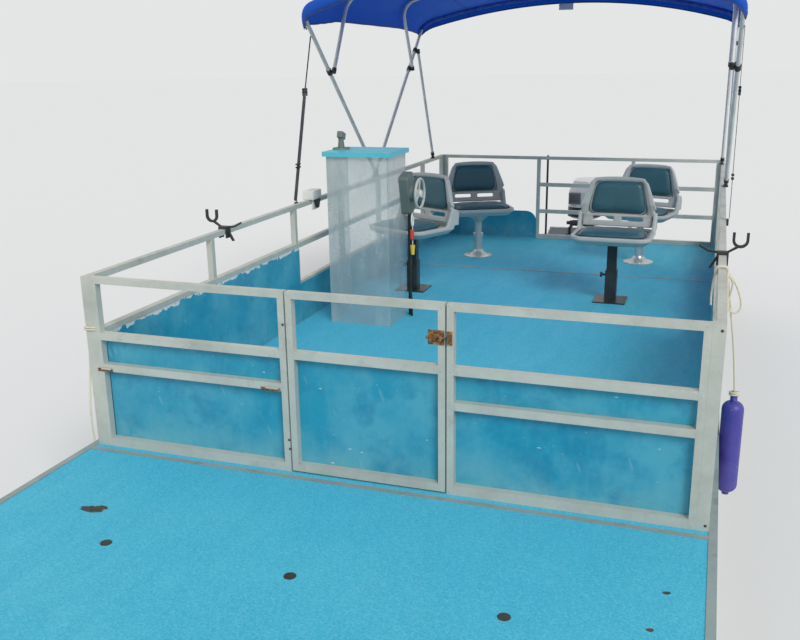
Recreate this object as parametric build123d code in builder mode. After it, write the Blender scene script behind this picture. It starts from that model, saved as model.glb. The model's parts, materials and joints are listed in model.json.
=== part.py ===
from build123d import *
from math import atan2, cos, hypot, pi, radians, sin, sqrt, tan
import os

# Pontoon boat, 23 foot class, with fenced deck, canvas top, four swivel seats and an outboard.
# Millimetres. The bow points to -Y, +X is port, +Z is up. The origin is on the centreline,
# midway along the boat's length, at the level of the keel strips' lower faces.

os.makedirs("parts", exist_ok=True)

# General clearances
weld_gap = 0.2
seat_gap = 0.3
pin_clearance = 0.1
bearing_gap = 0.6

# Tubes and keel
bow_tip_y = -3570.0
tube_diameter = 610.0
tube_wall = 4.0
tube_inset = 305.0
tube_overhang = 300.0
nose_length = 950.0
nose_lift = 190.0
nose_tip_radius = 45.0
keel_width = 26.0
keel_height = 12.0
tube_r = tube_diameter / 2
tube_axis_z = keel_height + tube_r

# Deck structure
riser_height = 30.0
riser_width = 170.0
riser_wall = 5.0
channel_height = 76.0
channel_depth = 38.0
channel_wall = 4.0
channel_count = 14
board_thickness = 19.0
cover_thickness = 3.0
deck_width = 2410.0
deck_bow_y = -3550.0
deck_aft_y = 2720.0
deck_corner_r = 45.0
trim_lip = 28.0
trim_wall = 3.0
trim_height = 60.0
riser_base_z = keel_height + tube_diameter
channel_z = riser_base_z + riser_height
board_z = channel_z + channel_height
deck_z = board_z + board_thickness + cover_thickness
trim_outer_x = deck_width / 2 + trim_wall
tube_offset = deck_width / 2 - tube_inset
tube_aft_y = deck_aft_y + tube_overhang

# Fence
fence_y = -2300.0
fence_inset = 25.0
stern_margin = 130.0
fence_height = 700.0
frame_depth = 30.0
corner_post = 40.0
stile_width = 25.0
top_rail = 25.0
mid_rail = 30.0
bottom_rail = 35.0
post_width = 27.0
second_rail_z = 448.0
third_rail_z = 320.0
low_rail_z = 220.0
sheet_thickness = 2.0
sheet_split = 1880.0
gate_left = -307.0
gate_right = 289.0
gate_gap = 6.0
stern_gap_x = -310.0
fence_z = deck_z + weld_gap
fence_half = deck_width / 2 - fence_inset
fence_length = deck_aft_y - stern_margin - fence_y
stern_y = fence_y + fence_length

# Gate furniture
gate_pin_r = 3.5
gate_barrel_r = 6.0
gate_barrel_y = fence_y + frame_depth + gate_barrel_r + 1.5
gate_hinge_heights = (110.0, 590.0)
hinge_length = 66.0
leaf_width = 18.0
leaf_thickness = 2.0
latch_z = 580.0

# Canvas top
bow_tube_r = 12.0
strut_r = 11.0
inner_bow_inset = 30.0
strut_inset = 26.0
corner_bend_r = 150.0
crown_inset = 80.0
crown_rise = 160.0
rail_hinge_z = 733.0
rail_hinge_y = 3250.0
main_reach = 1343.0
main_apex_z = 1960.0
inner_pivot = 1032.0
inner_fore_reach = 400.0
inner_aft_reach = 446.0
inner_apex_z = 2060.0
strut_pivot_height = 1235.0
strut_reach = 1295.0
strap_reach = 1304.0
strap_top_reach = 988.0
strap_top_rise = 922.0
buckle_reach = 1106.0
buckle_rise = 588.0
clip_drop = 43.0
canvas_thickness = 6.0
canvas_skirt = 60.0
bow_half = fence_half
inner_bow_half = bow_half - inner_bow_inset
strut_x = bow_half - strut_inset
strut_hinge_y = rail_hinge_y + strut_reach

# Console
console_front_y = 1930.0
console_depth = 310.0
console_inset = 200.0
console_width = 370.0
console_height = 975.0
acrylic = 6.0
top_board = 25.0
box_aft = 2190.0
box_height = 745.0
mount_aft = 2100.0
console_left = console_inset - fence_half
console_right = console_left + console_width

# Seats
seat_width = 490.0
pan_depth = 405.0
pan_rim = 54.0
pan_floor = 32.0
pan_pad_top = 84.0
recess_width = 430.0
pad_gap = 1.0
hinge_aft = 150.0
hinge_up = 122.0
ear_r = 40.0
ear_thickness = 22.0
ear_clearance = 6.0
back_recline = 8.0
back_height = 258.0
back_foot = 55.0
back_rear = 25.0
back_front = 10.0
seat_boss_r = 62.0
seat_boss_height = 10.0

# Outboard
transom_overhang = 360.0
transom_top_z = 765.0
transom_thickness = 40.0
pod_length = 980.0
tilt_set = 40.0
tilt_z = 800.0
steer_set = 75.0
clamp_hook_z = 664.0
clamp_screw_z = 700.0
tilt_tube_r = 16.0
kingpin_r = 20.0
cowl_length = 450.0
cowl_half = 150.0
cowl_bottom_z = 852.0
cowl_top_z = 1170.0
plate_z = 262.0
shaft_z = 132.0
skeg_z = 36.0
prop_set = 275.0
prop_r = 118.0
prop_length = 82.0
transom_y = deck_aft_y + transom_overhang
tilt_y = transom_y + tilt_set
steer_y = tilt_y + steer_set
cowl_front_y = tilt_y
cowl_aft_y = cowl_front_y + cowl_length
prop_y = tilt_y + prop_set

# Lines and small hardware
fender_aft = 850.0
fender_r = 43.0
fender_length = 420.0
line_r = 4.0
holder_aft = 1080.0


def save(piece, name):
    """Label a finished piece and write it."""
    piece.part.label = name
    export_step(piece.part, "parts/" + name + ".step")


def slab(x0, x1, y0, y1, z0, z1, mode=Mode.ADD):
    """A straight member between two opposite corners, added to the open part."""
    with Locations(((x0 + x1) / 2, (y0 + y1) / 2, (z0 + z1) / 2)):
        Box(abs(x1 - x0), abs(y1 - y0), abs(z1 - z0), mode=mode)


def rod(start, end, radius, mode=Mode.ADD):
    """A round bar between two points, in the open part."""
    a = Vector(*start)
    b = Vector(*end)
    with Locations(Plane(origin=(a + b) / 2, z_dir=(b - a).normalized()).location):
        Cylinder(radius, (b - a).length, mode=mode)


def from_bow(distance):
    """The Y of a place that lies this far aft of the front fence."""
    return fence_y + distance


# Tubes: a rolled cylinder, a nose that sweeps up to a small blunt tip, and a keel strip
nose_stations = (
    # distance aft of the tip, radius, rise of the centre
    (0.0, nose_tip_radius, nose_lift),
    (90.0, 120.0, 0.62 * nose_lift),
    (330.0, 215.0, 0.25 * nose_lift),
    (640.0, 282.0, 0.05 * nose_lift),
    (nose_length, tube_r, 0.0),
)
for side, name in ((1, "pontoon_port"), (-1, "pontoon_starboard")):
    centre_x = side * tube_offset
    with BuildPart() as pontoon:
        for inset, mode in ((0.0, Mode.ADD), (tube_wall, Mode.SUBTRACT)):
            for aft, radius, rise in nose_stations:
                aft = max(aft, inset)
                station = Plane(origin=(centre_x, bow_tip_y + aft, tube_axis_z + rise), z_dir=(0, 1, 0))
                with BuildSketch(station):
                    Circle(radius - inset)
            loft(ruled=True, mode=mode)
            body_plane = Plane(origin=(centre_x, bow_tip_y + nose_length, tube_axis_z), z_dir=(0, 1, 0))
            with BuildSketch(body_plane):
                Circle(tube_r - inset)
            extrude(amount=tube_aft_y - bow_tip_y - nose_length - inset, mode=mode)
        keel_aft = tube_aft_y - 60.0
        keel_fore = bow_tip_y + nose_length - 40.0
        keel_x = centre_x - keel_width / 2
        slab(keel_x, keel_x + keel_width, keel_fore, keel_aft, 0.0, keel_height + 1.0)
    save(pontoon, name)

# Risers: an upturned channel along each tube, its legs standing on the tube's shoulders
riser_fore_y = bow_tip_y + nose_length
riser_leg_x = riser_width / 2 - riser_wall
saddle_drop = tube_r - sqrt(tube_r**2 - (riser_width / 2) ** 2)
with BuildPart() as tube_risers:
    with BuildSketch(Plane(origin=(0, riser_fore_y, 0), x_dir=(1, 0, 0), z_dir=(0, -1, 0))) as riser_section:
        for centre_x in (-tube_offset, tube_offset):
            with Locations((centre_x, channel_z - weld_gap - (riser_height + saddle_drop) / 2)):
                Rectangle(riser_width, riser_height + saddle_drop)
            with Locations((centre_x, channel_z - weld_gap - riser_wall - riser_height)):
                Rectangle(2 * riser_leg_x, 2 * riser_height, mode=Mode.SUBTRACT)
            with Locations((centre_x, tube_axis_z)):
                Circle(tube_r + weld_gap, mode=Mode.SUBTRACT)
    extrude(amount=-(tube_aft_y - riser_fore_y - 20.0))
save(tube_risers, "tube_risers")

# Cross channels: C sections athwart the risers, open side aft
channel_fore_y = deck_bow_y + 60.0
channel_pitch = (deck_aft_y - 40.0 - channel_depth - channel_fore_y) / (channel_count - 1)
with BuildPart() as cross_channels:
    with BuildSketch(Plane.YZ.offset(-deck_width / 2 + 6.0)):
        for index in range(channel_count):
            fore = channel_fore_y + index * channel_pitch
            with Locations((fore + channel_depth / 2, channel_z + channel_height / 2)):
                Rectangle(channel_depth, channel_height)
            with Locations((fore + channel_depth / 2 + channel_wall, channel_z + channel_height / 2)):
                Rectangle(channel_depth, channel_height - 2 * channel_wall, mode=Mode.SUBTRACT)
    extrude(amount=deck_width - 12.0)
save(cross_channels, "cross_channels")

# Deck board with its coated cover on top
deck_length = deck_aft_y - deck_bow_y
deck_mid_y = (deck_aft_y + deck_bow_y) / 2
with BuildPart() as deck_board:
    with BuildSketch(Plane.XY.offset(board_z + weld_gap)):
        with Locations((0, deck_mid_y)):
            RectangleRounded(deck_width, deck_length, deck_corner_r)
    extrude(amount=board_thickness - weld_gap)
save(deck_board, "deck_board")

plug_spots = ((-656.0, -660.0), (-3.0, -655.0), (653.0, -660.0))
plug_r = 19.0
with BuildPart() as deck_cover:
    with BuildSketch(Plane.XY.offset(board_z + board_thickness)):
        with Locations((0, deck_mid_y)):
            RectangleRounded(deck_width - 0.6, deck_length - 0.6, deck_corner_r)
        for x, aft in plug_spots:
            with Locations((x, from_bow(aft))):
                Circle(plug_r + seat_gap, mode=Mode.SUBTRACT)
    extrude(amount=cover_thickness)
save(deck_cover, "deck_cover")

# Deck plugs and the two aluminium strips that lie on the cover
with BuildPart() as deck_plugs:
    for x, aft in plug_spots:
        with BuildSketch(Plane(origin=(x, from_bow(aft), board_z + board_thickness))):
            Circle(plug_r)
        extrude(amount=cover_thickness + 1.5)
save(deck_plugs, "deck_plugs")

strip_height = 2.5
strip_spots = (
    # distance aft of the fence, half length, width: the sill before the gate and the seam aft
    (-42.0, fence_half, 24.0),
    (3600.0, fence_half - frame_depth - 4.0, 20.0),
)
with BuildPart() as deck_strips:
    for aft, half, width in strip_spots:
        y = from_bow(aft)
        slab(-half, half, y - width / 2, y + width / 2, deck_z, deck_z + strip_height)
save(deck_strips, "deck_strips")

# Edge trim: an angle round the deck, its lip over the cover
with BuildPart() as deck_trim:
    with BuildSketch(Plane.XY.offset(deck_z - trim_height)):
        with Locations((0, deck_mid_y)):
            RectangleRounded(2 * trim_outer_x, deck_length + 2 * trim_wall, deck_corner_r + trim_wall)
            RectangleRounded(deck_width + 0.4, deck_length + 0.4, deck_corner_r, mode=Mode.SUBTRACT)
    extrude(amount=trim_height)
    with BuildSketch(Plane.XY.offset(deck_z)):
        with Locations((0, deck_mid_y)):
            RectangleRounded(2 * trim_outer_x, deck_length + 2 * trim_wall, deck_corner_r + trim_wall)
            inner_r = deck_corner_r - trim_lip / 2
            inner_length = deck_length + 2 * trim_wall - 2 * trim_lip
            RectangleRounded(2 * (trim_outer_x - trim_lip), inner_length, inner_r, mode=Mode.SUBTRACT)
    extrude(amount=trim_wall)
save(deck_trim, "deck_trim")


def fence_outline(u0, u1, rails, posts):
    """Draw a fence panel's members in the open sketch, u along the fence and v up from the deck.

    The top rail and the two end stiles meet at mitres. rails holds (height, thickness, first bay)
    rows and posts the centres of inner uprights. Members stand a weld gap apart.
    """
    top = fence_height
    g = weld_gap
    s = stile_width
    Polygon((u0, top), (u0 + s, top - top_rail), (u1 - s, top - top_rail), (u1, top), align=None)
    drop = 1.5 * g
    Polygon((u0, 0), (u0 + s, 0), (u0 + s, top - top_rail - drop), (u0, top - drop), align=None)
    Polygon((u1, 0), (u1, top - drop), (u1 - s, top - top_rail - drop), (u1 - s, 0), align=None)
    edges = [u0 + s] + [e for p in posts for e in (p - post_width / 2, p + post_width / 2)] + [u1 - s]
    bays = list(zip(edges[0::2], edges[1::2]))
    for height, thickness, first_bay in rails:
        for left, right in bays[first_bay:]:
            with Locations(((left + right) / 2, height + thickness / 2)):
                Rectangle(right - left - 2 * g, thickness)
    for p in posts:
        with Locations((p, (top - top_rail - g) / 2)):
            Rectangle(post_width, top - top_rail - g)


front_rails = ((0.0, bottom_rail, 0), (third_rail_z, mid_rail, 0), (second_rail_z, mid_rail, 0))
gate_rails = ((0.0, bottom_rail, 0), (second_rail_z, mid_rail, 0))
panel_edge = fence_half - corner_post - weld_gap
front_plane = Plane(origin=(0, fence_y, fence_z), x_dir=(1, 0, 0), z_dir=(0, -1, 0))
front_panels = ((-panel_edge, gate_left - gate_gap), (gate_right + gate_gap, panel_edge))
hinge_x = gate_left - gate_gap / 2
knuckle = hinge_length / 3
leaf_y0 = fence_y + frame_depth + weld_gap
leaf_y1 = leaf_y0 + leaf_thickness
with BuildPart() as front_frames:
    with BuildSketch(front_plane):
        for lower, upper in front_panels:
            fence_outline(lower, upper, front_rails, ())
    extrude(amount=-frame_depth)
    for height in gate_hinge_heights:
        base = fence_z + height - hinge_length / 2
        for z0 in (base, base + 2 * knuckle):
            with BuildSketch(Plane(origin=(hinge_x, gate_barrel_y, z0))):
                Circle(gate_barrel_r)
            extrude(amount=knuckle - 1.0)
            slab(hinge_x - leaf_width, hinge_x - 3.0, leaf_y0, leaf_y1, z0, z0 + knuckle - 1.0)
            slab(hinge_x - gate_barrel_r, hinge_x - 3.0, leaf_y0, gate_barrel_y, z0, z0 + knuckle - 1.0)
        with BuildSketch(Plane(origin=(hinge_x, gate_barrel_y, base))):
            Circle(gate_pin_r)
        extrude(amount=hinge_length - 1.0)
save(front_frames, "front_frames")

gate_lift = 6.0
with BuildPart() as gate_frame:
    with BuildSketch(front_plane):
        fence_outline(gate_left, gate_right, gate_rails, ())
        with Locations(((gate_left + gate_right) / 2, gate_lift / 2)):
            Rectangle(gate_right - gate_left + 2, gate_lift, mode=Mode.SUBTRACT)
    extrude(amount=-frame_depth)
    for height in gate_hinge_heights:
        z0 = fence_z + height - hinge_length / 2 + knuckle
        z1 = z0 + knuckle - 1.0
        with BuildSketch(Plane(origin=(hinge_x, gate_barrel_y, z0))):
            Circle(gate_barrel_r)
        extrude(amount=knuckle - 1.0)
        slab(hinge_x + 3.0, hinge_x + leaf_width, leaf_y0, leaf_y1, z0, z1)
        slab(hinge_x + 3.0, hinge_x + gate_barrel_r, leaf_y0, gate_barrel_y, z0, z1)
        with BuildSketch(Plane(origin=(hinge_x, gate_barrel_y, z0))):
            Circle(gate_pin_r + pin_clearance)
        extrude(amount=knuckle - 1.0, mode=Mode.SUBTRACT)
save(gate_frame, "gate_frame")

# Side fences: square corner posts, a full frame between them, the forward cap over the sheet
side_posts = (940.0, 1860.0, 2560.0, 3250.0, 4300.0)
side_rails = ((0.0, bottom_rail, 0), (low_rail_z, mid_rail, 0))
cap_overlap = sheet_thickness + 2.0
side_fore = corner_post + weld_gap
side_aft = fence_length - corner_post - weld_gap
for side, name in ((1, "side_frame_port"), (-1, "side_frame_starboard")):
    outer = side * fence_half
    side_plane = Plane(origin=(outer, fence_y, fence_z), x_dir=(0, 1, 0), z_dir=(1, 0, 0))
    with BuildPart() as side_frame:
        with BuildSketch(side_plane):
            fence_outline(side_fore, side_aft, side_rails, side_posts)
        extrude(amount=-side * frame_depth)
        edges = [side_fore + stile_width]
        for p in side_posts:
            edges += [p - post_width / 2, p + post_width / 2]
        edges.append(side_aft - stile_width)
        for left, right in zip(edges[0::2], edges[1::2]):
            y0 = from_bow(left + weld_gap)
            y1 = from_bow(right - weld_gap)
            rail_z = fence_z + second_rail_z
            slab(outer, outer - side * frame_depth, y0, y1, rail_z, rail_z + mid_rail)
        cap_fore = from_bow(side_fore + stile_width)
        cap_aft = from_bow(sheet_split)
        cap_inner = outer - side * (frame_depth + weld_gap)
        cap_x = cap_inner - side * cap_overlap
        cap_z = fence_z + second_rail_z + 6.0
        slab(cap_inner, cap_x, cap_fore, cap_aft, cap_z, cap_z + mid_rail - 6.0)
        for fore in (0.0, fence_length - corner_post):
            y0 = from_bow(fore)
            slab(outer, outer - side * corner_post, y0, y0 + corner_post, fence_z, fence_z + fence_height)
    save(side_frame, name)

# Stern fence: its starboard bay carries a low sheet under the top rail, the rest is open rails
stern_plane = Plane(origin=(0, stern_y, fence_z), x_dir=(1, 0, 0), z_dir=(0, -1, 0))
stern_rails = ((0.0, bottom_rail, 0), (low_rail_z, mid_rail, 1), (second_rail_z, mid_rail, 1))
stern_posts = (stern_gap_x, 470.0)
with BuildPart() as stern_frame:
    with BuildSketch(stern_plane):
        fence_outline(-panel_edge, panel_edge, stern_rails, stern_posts)
    extrude(amount=frame_depth)
save(stern_frame, "stern_frame")

# Painted sheets on the inner faces of the frames
sheet_lap = 12.0
sheet_corner_r = 90.0
sheet_z0 = fence_z + 4.0
front_sheet_top = fence_z + second_rail_z + mid_rail / 2
sheet_y0 = fence_y + frame_depth + weld_gap
with BuildPart() as fence_sheets:
    sheet_spans = ((-panel_edge + frame_depth, gate_left - gate_gap - leaf_width),
                   (gate_right + gate_gap + sheet_lap, panel_edge - frame_depth))
    for x0, x1 in sheet_spans:
        slab(x0, x1, sheet_y0, sheet_y0 + sheet_thickness, sheet_z0, front_sheet_top)
    for side in (-1, 1):
        x = side * (fence_half - frame_depth - weld_gap)
        y0 = from_bow(corner_post + 1.0)
        top = fence_z + second_rail_z + 5.0
        slab(x, x - side * sheet_thickness, y0, from_bow(sheet_split), sheet_z0, top)
save(fence_sheets, "fence_sheets")

with BuildPart() as low_sheets:
    low_top = fence_z + low_rail_z + mid_rail / 2
    for side in (-1, 1):
        x = side * (fence_half - frame_depth - weld_gap)
        y0 = from_bow(sheet_split + 2.0)
        y1 = from_bow(fence_length - corner_post - 1.0)
        slab(x, x - side * sheet_thickness, y0, y1, sheet_z0, low_top)
    stern_left = frame_depth - panel_edge
    stern_right = stern_gap_x - 8.0
    sheet_y = stern_y - frame_depth - weld_gap
    with BuildSketch(Plane(origin=(0, sheet_y, 0), x_dir=(1, 0, 0), z_dir=(0, -1, 0))) as stern_sheet:
        with Locations(((stern_left + stern_right) / 2, (sheet_z0 + low_top) / 2)):
            Rectangle(stern_right - stern_left, low_top - sheet_z0)
        port_corners = stern_sheet.vertices().sort_by(Axis.X)[-2:]
        fillet(port_corners.sort_by(Axis.Y)[-1], sheet_corner_r)
    extrude(amount=sheet_thickness)
save(low_sheets, "low_sheets")

with BuildPart() as gate_sheet:
    x0 = gate_left + leaf_width + 4.0
    x1 = gate_right - sheet_lap
    slab(x0, x1, sheet_y0, sheet_y0 + sheet_thickness, sheet_z0 + gate_lift, front_sheet_top)
save(gate_sheet, "gate_sheet")

# Gate latch: a barrel bolt drawn back on the gate, and its keeper on the port panel
bolt_r = 5.0
latch_y = fence_y - weld_gap
latch_zc = fence_z + latch_z
bolt_y = latch_y - 1.4 - bolt_r
with BuildPart() as gate_latch:
    slab(gate_right - 60.0, gate_right - 2.0, latch_y - 2.0, latch_y, latch_zc - 26.0, latch_zc + 26.0)
    with BuildSketch(Plane(origin=(gate_right - 66.0, bolt_y, latch_zc), z_dir=(1, 0, 0))):
        Circle(bolt_r)
    extrude(amount=66.0)
    for x in (gate_right - 52.0, gate_right - 18.0):
        slab(x, x + 10.0, latch_y - 2 * bolt_r - 4.0, latch_y - 1.0, latch_zc - 9.0, latch_zc + 9.0)
    slab(gate_right - 36.0, gate_right - 30.0, latch_y - 22.0, latch_y - 4.0, latch_zc - 3.0, latch_zc + 3.0)
save(gate_latch, "gate_latch")

keeper_x = gate_right + gate_gap + 2.0
with BuildPart() as latch_keeper:
    slab(keeper_x, keeper_x + 18.0, latch_y - 2.0, latch_y, latch_zc - 24.0, latch_zc + 24.0)
    keeper_y = latch_y - 2 * bolt_r - 5.0
    slab(keeper_x + 3.0, keeper_x + 13.0, keeper_y, latch_y - 1.0, latch_zc - 10.0, latch_zc + 10.0)
    with BuildSketch(Plane(origin=(keeper_x - 1.0, bolt_y, latch_zc), z_dir=(1, 0, 0))):
        Circle(bolt_r + 0.6)
    extrude(amount=30.0, mode=Mode.SUBTRACT)
save(latch_keeper, "latch_keeper")


# Canvas top: four bows of bent tube, each lying in its own raked plane
class Bow:
    """A bow's plane and the tangent points of its legs, corner bends and crown."""

    def __init__(self, half, foot_y, foot_z, apex_y, apex_z, crown_rise):
        self.half = half
        self.reach = hypot(apex_y - foot_y, apex_z - foot_z)
        up = Vector(0, apex_y - foot_y, apex_z - foot_z).normalized()
        self.up = up
        self.foot = Vector(0, foot_y, foot_z)
        self.plane = Plane(origin=self.foot, x_dir=(1, 0, 0), z_dir=Vector(1, 0, 0).cross(up))
        rise = crown_rise / up.Z
        self.crown_r = ((bow_half - crown_inset) ** 2 + rise**2) / (2 * rise)

    def outline(self, out):
        """Tangent points of the bow's line moved outward by out: leg, corner and crown."""
        crown = self.crown_r + out
        corner = corner_bend_r + out
        edge = self.half + out
        centre_v = self.reach - self.crown_r
        corner_u = edge - corner
        corner_v = centre_v + sqrt((crown - corner) ** 2 - corner_u**2)
        lean = atan2(corner_u, corner_v - centre_v)
        touch = (crown * sin(lean), centre_v + crown * cos(lean))
        half_way = (lean + radians(90.0)) / 2
        middle = (corner_u + corner * sin(half_way), corner_v + corner * cos(half_way))
        return edge, corner_v, middle, touch, centre_v + crown

    def draw(self, out, foot):
        """The line from one foot over the crown to the other, in the open line builder."""
        edge, corner_v, middle, touch, apex = self.outline(out)
        Line((-edge, foot), (-edge, corner_v))
        ThreePointArc((-edge, corner_v), (-middle[0], middle[1]), (-touch[0], touch[1]))
        ThreePointArc((-touch[0], touch[1]), (0, apex), touch)
        ThreePointArc(touch, middle, (edge, corner_v))
        Line((edge, corner_v), (edge, foot))


main_fore = Bow(bow_half, from_bow(rail_hinge_y - 8.0), deck_z + rail_hinge_z,
                from_bow(rail_hinge_y - main_reach), deck_z + main_apex_z, crown_rise)
main_aft = Bow(bow_half, from_bow(rail_hinge_y + 8.0), deck_z + rail_hinge_z,
               from_bow(rail_hinge_y + main_reach), deck_z + main_apex_z, crown_rise)
fore_pivot = main_fore.foot + main_fore.up * inner_pivot
aft_pivot = main_aft.foot + main_aft.up * inner_pivot
inner_fore = Bow(inner_bow_half, fore_pivot.Y, fore_pivot.Z,
                 from_bow(rail_hinge_y - inner_fore_reach), deck_z + inner_apex_z, crown_rise)
inner_aft = Bow(inner_bow_half, aft_pivot.Y, aft_pivot.Z,
                from_bow(rail_hinge_y + inner_aft_reach), deck_z + inner_apex_z, crown_rise)


def bend_tube(bow, foot):
    """Sweep a tube along a bow, in the open part."""
    with BuildLine(bow.plane) as line:
        bow.draw(0.0, foot)
    start = bow.plane.from_local_coords(Vector(-bow.half, foot, 0))
    with BuildSketch(Plane(origin=start, x_dir=(1, 0, 0), z_dir=bow.up)) as section:
        Circle(bow_tube_r)
    sweep(sections=section.sketch, path=line.line)


main_foot = 22.0
with BuildPart() as bimini_main_bows:
    bend_tube(main_fore, main_foot)
    bend_tube(main_aft, main_foot)
save(bimini_main_bows, "bimini_main_bows")

# The inner bows share their node with the two aft struts
strut_pivot = main_aft.foot + main_aft.up * strut_pivot_height
strut_foot = Vector(0, from_bow(strut_hinge_y), deck_z + rail_hinge_z)
strut_run = strut_pivot - strut_foot
strut_way = strut_run.normalized()
inner_foot = 22.0
strut_ease = 22.0
with BuildPart() as bimini_inner_bows:
    bend_tube(inner_fore, inner_foot)
    bend_tube(inner_aft, inner_foot)
    for side in (-1, 1):
        across = Vector(side * strut_x, 0, 0)
        ease = strut_way * strut_ease
        rod(across + strut_foot + ease, across + strut_pivot - ease, strut_r)
save(bimini_inner_bows, "bimini_inner_bows")

# Fittings: hinges on the rails, sleeves on the tubes' ends and collars on the main legs
sleeve_r = 14.5
collar_r = 16.5
collar_half = 18.0
rail_top = fence_z + fence_height + weld_gap
sleeves = (
    # x, end point, direction towards the tube, distance to the tube's end
    (bow_half, main_fore.foot, main_fore.up, main_foot),
    (bow_half, main_aft.foot, main_aft.up, main_foot),
    (strut_x, strut_foot, strut_way, strut_ease),
    (strut_x, strut_pivot, strut_way * -1, strut_ease),
    (inner_bow_half, fore_pivot, inner_fore.up, inner_foot),
    (inner_bow_half, aft_pivot, inner_aft.up, inner_foot),
)
collars = ((fore_pivot, main_fore.up), (aft_pivot, main_aft.up), (strut_pivot, main_aft.up))
strap_foot_y = rail_hinge_y - strap_reach
with BuildPart() as bimini_fittings:
    for side in (-1, 1):
        for x, aft, width in ((bow_half, rail_hinge_y, 74.0), (strut_x, strut_hinge_y, 40.0)):
            y = from_bow(aft)
            xc = side * (x - 2.0)
            half = width / 2
            slab(xc - 15.0, xc + 15.0, y - half, y + half, rail_top, rail_top + 8.0)
            slab(xc - 9.0, xc + 9.0, y - half + 8.0, y + half - 8.0, rail_top + 7.0, rail_top + 36.0)
        for x, point, way, reach in sleeves:
            end = Vector(side * x, point.Y, point.Z)
            rod(end - way * 8.0, end + way * (reach - seat_gap), sleeve_r)
        for point, way in collars:
            centre = Vector(side * bow_half, point.Y, point.Z)
            rod(centre - way * collar_half, centre + way * collar_half, collar_r)
        for point, way in collars:
            centre = Vector(side * bow_half, point.Y, point.Z)
            through = way * 2 * collar_half
            rod(centre - through, centre + through, bow_tube_r + weld_gap, Mode.SUBTRACT)
        clip_x = side * (fence_half + weld_gap)
        clip_y = from_bow(strap_foot_y)
        clip_end = side * (bow_half + bow_tube_r)
        slab(clip_x, clip_end, clip_y - 14.0, clip_y + 14.0, rail_top - 26.0, rail_top + 6.0)
save(bimini_fittings, "bimini_fittings")

# Straps: webbing from the fore bow to the rail on each side, with a square buckle
strap_line = (
    # distance aft of the fence, height above the deck: at the bow, at the buckle, at the rail
    (rail_hinge_y - strap_top_reach, rail_hinge_z + strap_top_rise),
    (rail_hinge_y - buckle_reach, rail_hinge_z + buckle_rise),
    (strap_foot_y, rail_hinge_z - clip_drop),
)
strap_thickness = 2.4
with BuildPart() as bimini_straps:
    for side in (-1, 1):
        x = side * (bow_half + bow_tube_r + seat_gap + strap_thickness / 2)
        widths = (12.0, 38.0)
        for (y0, z0), (y1, z1), width in zip(strap_line[:-1], strap_line[1:], widths):
            lean = Vector(0, y1 - y0, z1 - z0)
            mid = Vector(x, from_bow((y0 + y1) / 2), deck_z + (z0 + z1) / 2)
            with BuildSketch(Plane(origin=mid, x_dir=(1, 0, 0), z_dir=lean.normalized())):
                Rectangle(strap_thickness, width)
            extrude(amount=lean.length / 2 - 22.0, both=True)
        buckle_y, buckle_z = strap_line[1]
        slab(x - 6.0, x + 6.0, from_bow(buckle_y - 24.0), from_bow(buckle_y + 24.0),
             deck_z + buckle_z - 22.0, deck_z + buckle_z + 22.0)
save(bimini_straps, "bimini_straps")

# Canvas: a ruled skin over the four bows, with a short skirt down each side
cover_half = bow_half


def canvas_section(bow, skirt, canvas_in):
    """The canvas's section in a bow's plane: a strip that follows the bow's outer side."""
    canvas_out = canvas_in + canvas_thickness
    wide = Bow(cover_half, bow.foot.Y, bow.foot.Z, bow.foot.Y + bow.reach * bow.up.Y,
               bow.foot.Z + bow.reach * bow.up.Z, crown_rise)
    outer_edge, corner_v, outer_mid, outer_touch, outer_apex = wide.outline(canvas_out)
    inner_edge, inner_corner_v, inner_mid, inner_touch, inner_apex = wide.outline(canvas_in)
    low = corner_v - skirt
    with BuildSketch(wide.plane) as section:
        with BuildLine():
            wide.draw(canvas_out, low)
            wide.draw(canvas_in, low)
            Line((-outer_edge, low), (-inner_edge, low))
            Line((inner_edge, low), (outer_edge, low))
        make_face()
    return section.sketch.faces()[0]


canvas_stations = (
    # bow, skirt below the corner bend, gap from the bow's centreline
    (main_fore, 20.0, 16.6),
    (inner_fore, canvas_skirt, 15.8),
    (inner_aft, canvas_skirt, 15.8),
    (main_aft, 20.0, 16.6),
)
with BuildPart() as canopy:
    loft([canvas_section(*station) for station in canvas_stations], ruled=True)
save(canopy, "canopy")

# Console: clear panels on three sides under a painted board
console_y0 = from_bow(console_front_y)
console_y1 = console_y0 + console_depth
console_z0 = deck_z + weld_gap
console_z1 = deck_z + console_height
with BuildPart() as console_panels:
    slab(console_left, console_right, console_y0, console_y0 + acrylic, console_z0, console_z1)
    for x in (console_left, console_right - acrylic):
        slab(x, x + acrylic, console_y0 + acrylic + weld_gap, console_y1, console_z0, console_z1)
save(console_panels, "console_panels")

board_overhang = 20.0
with BuildPart() as console_board:
    with BuildSketch(Plane.XY.offset(console_z1 + weld_gap)):
        mid_x = (console_left + console_right) / 2
        with Locations((mid_x, (console_y0 + console_y1) / 2)):
            width = console_right - console_left + 2 * board_overhang
            RectangleRounded(width, console_depth + 2 * board_overhang, 14.0)
    extrude(amount=top_board)
save(console_board, "console_board")

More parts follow.
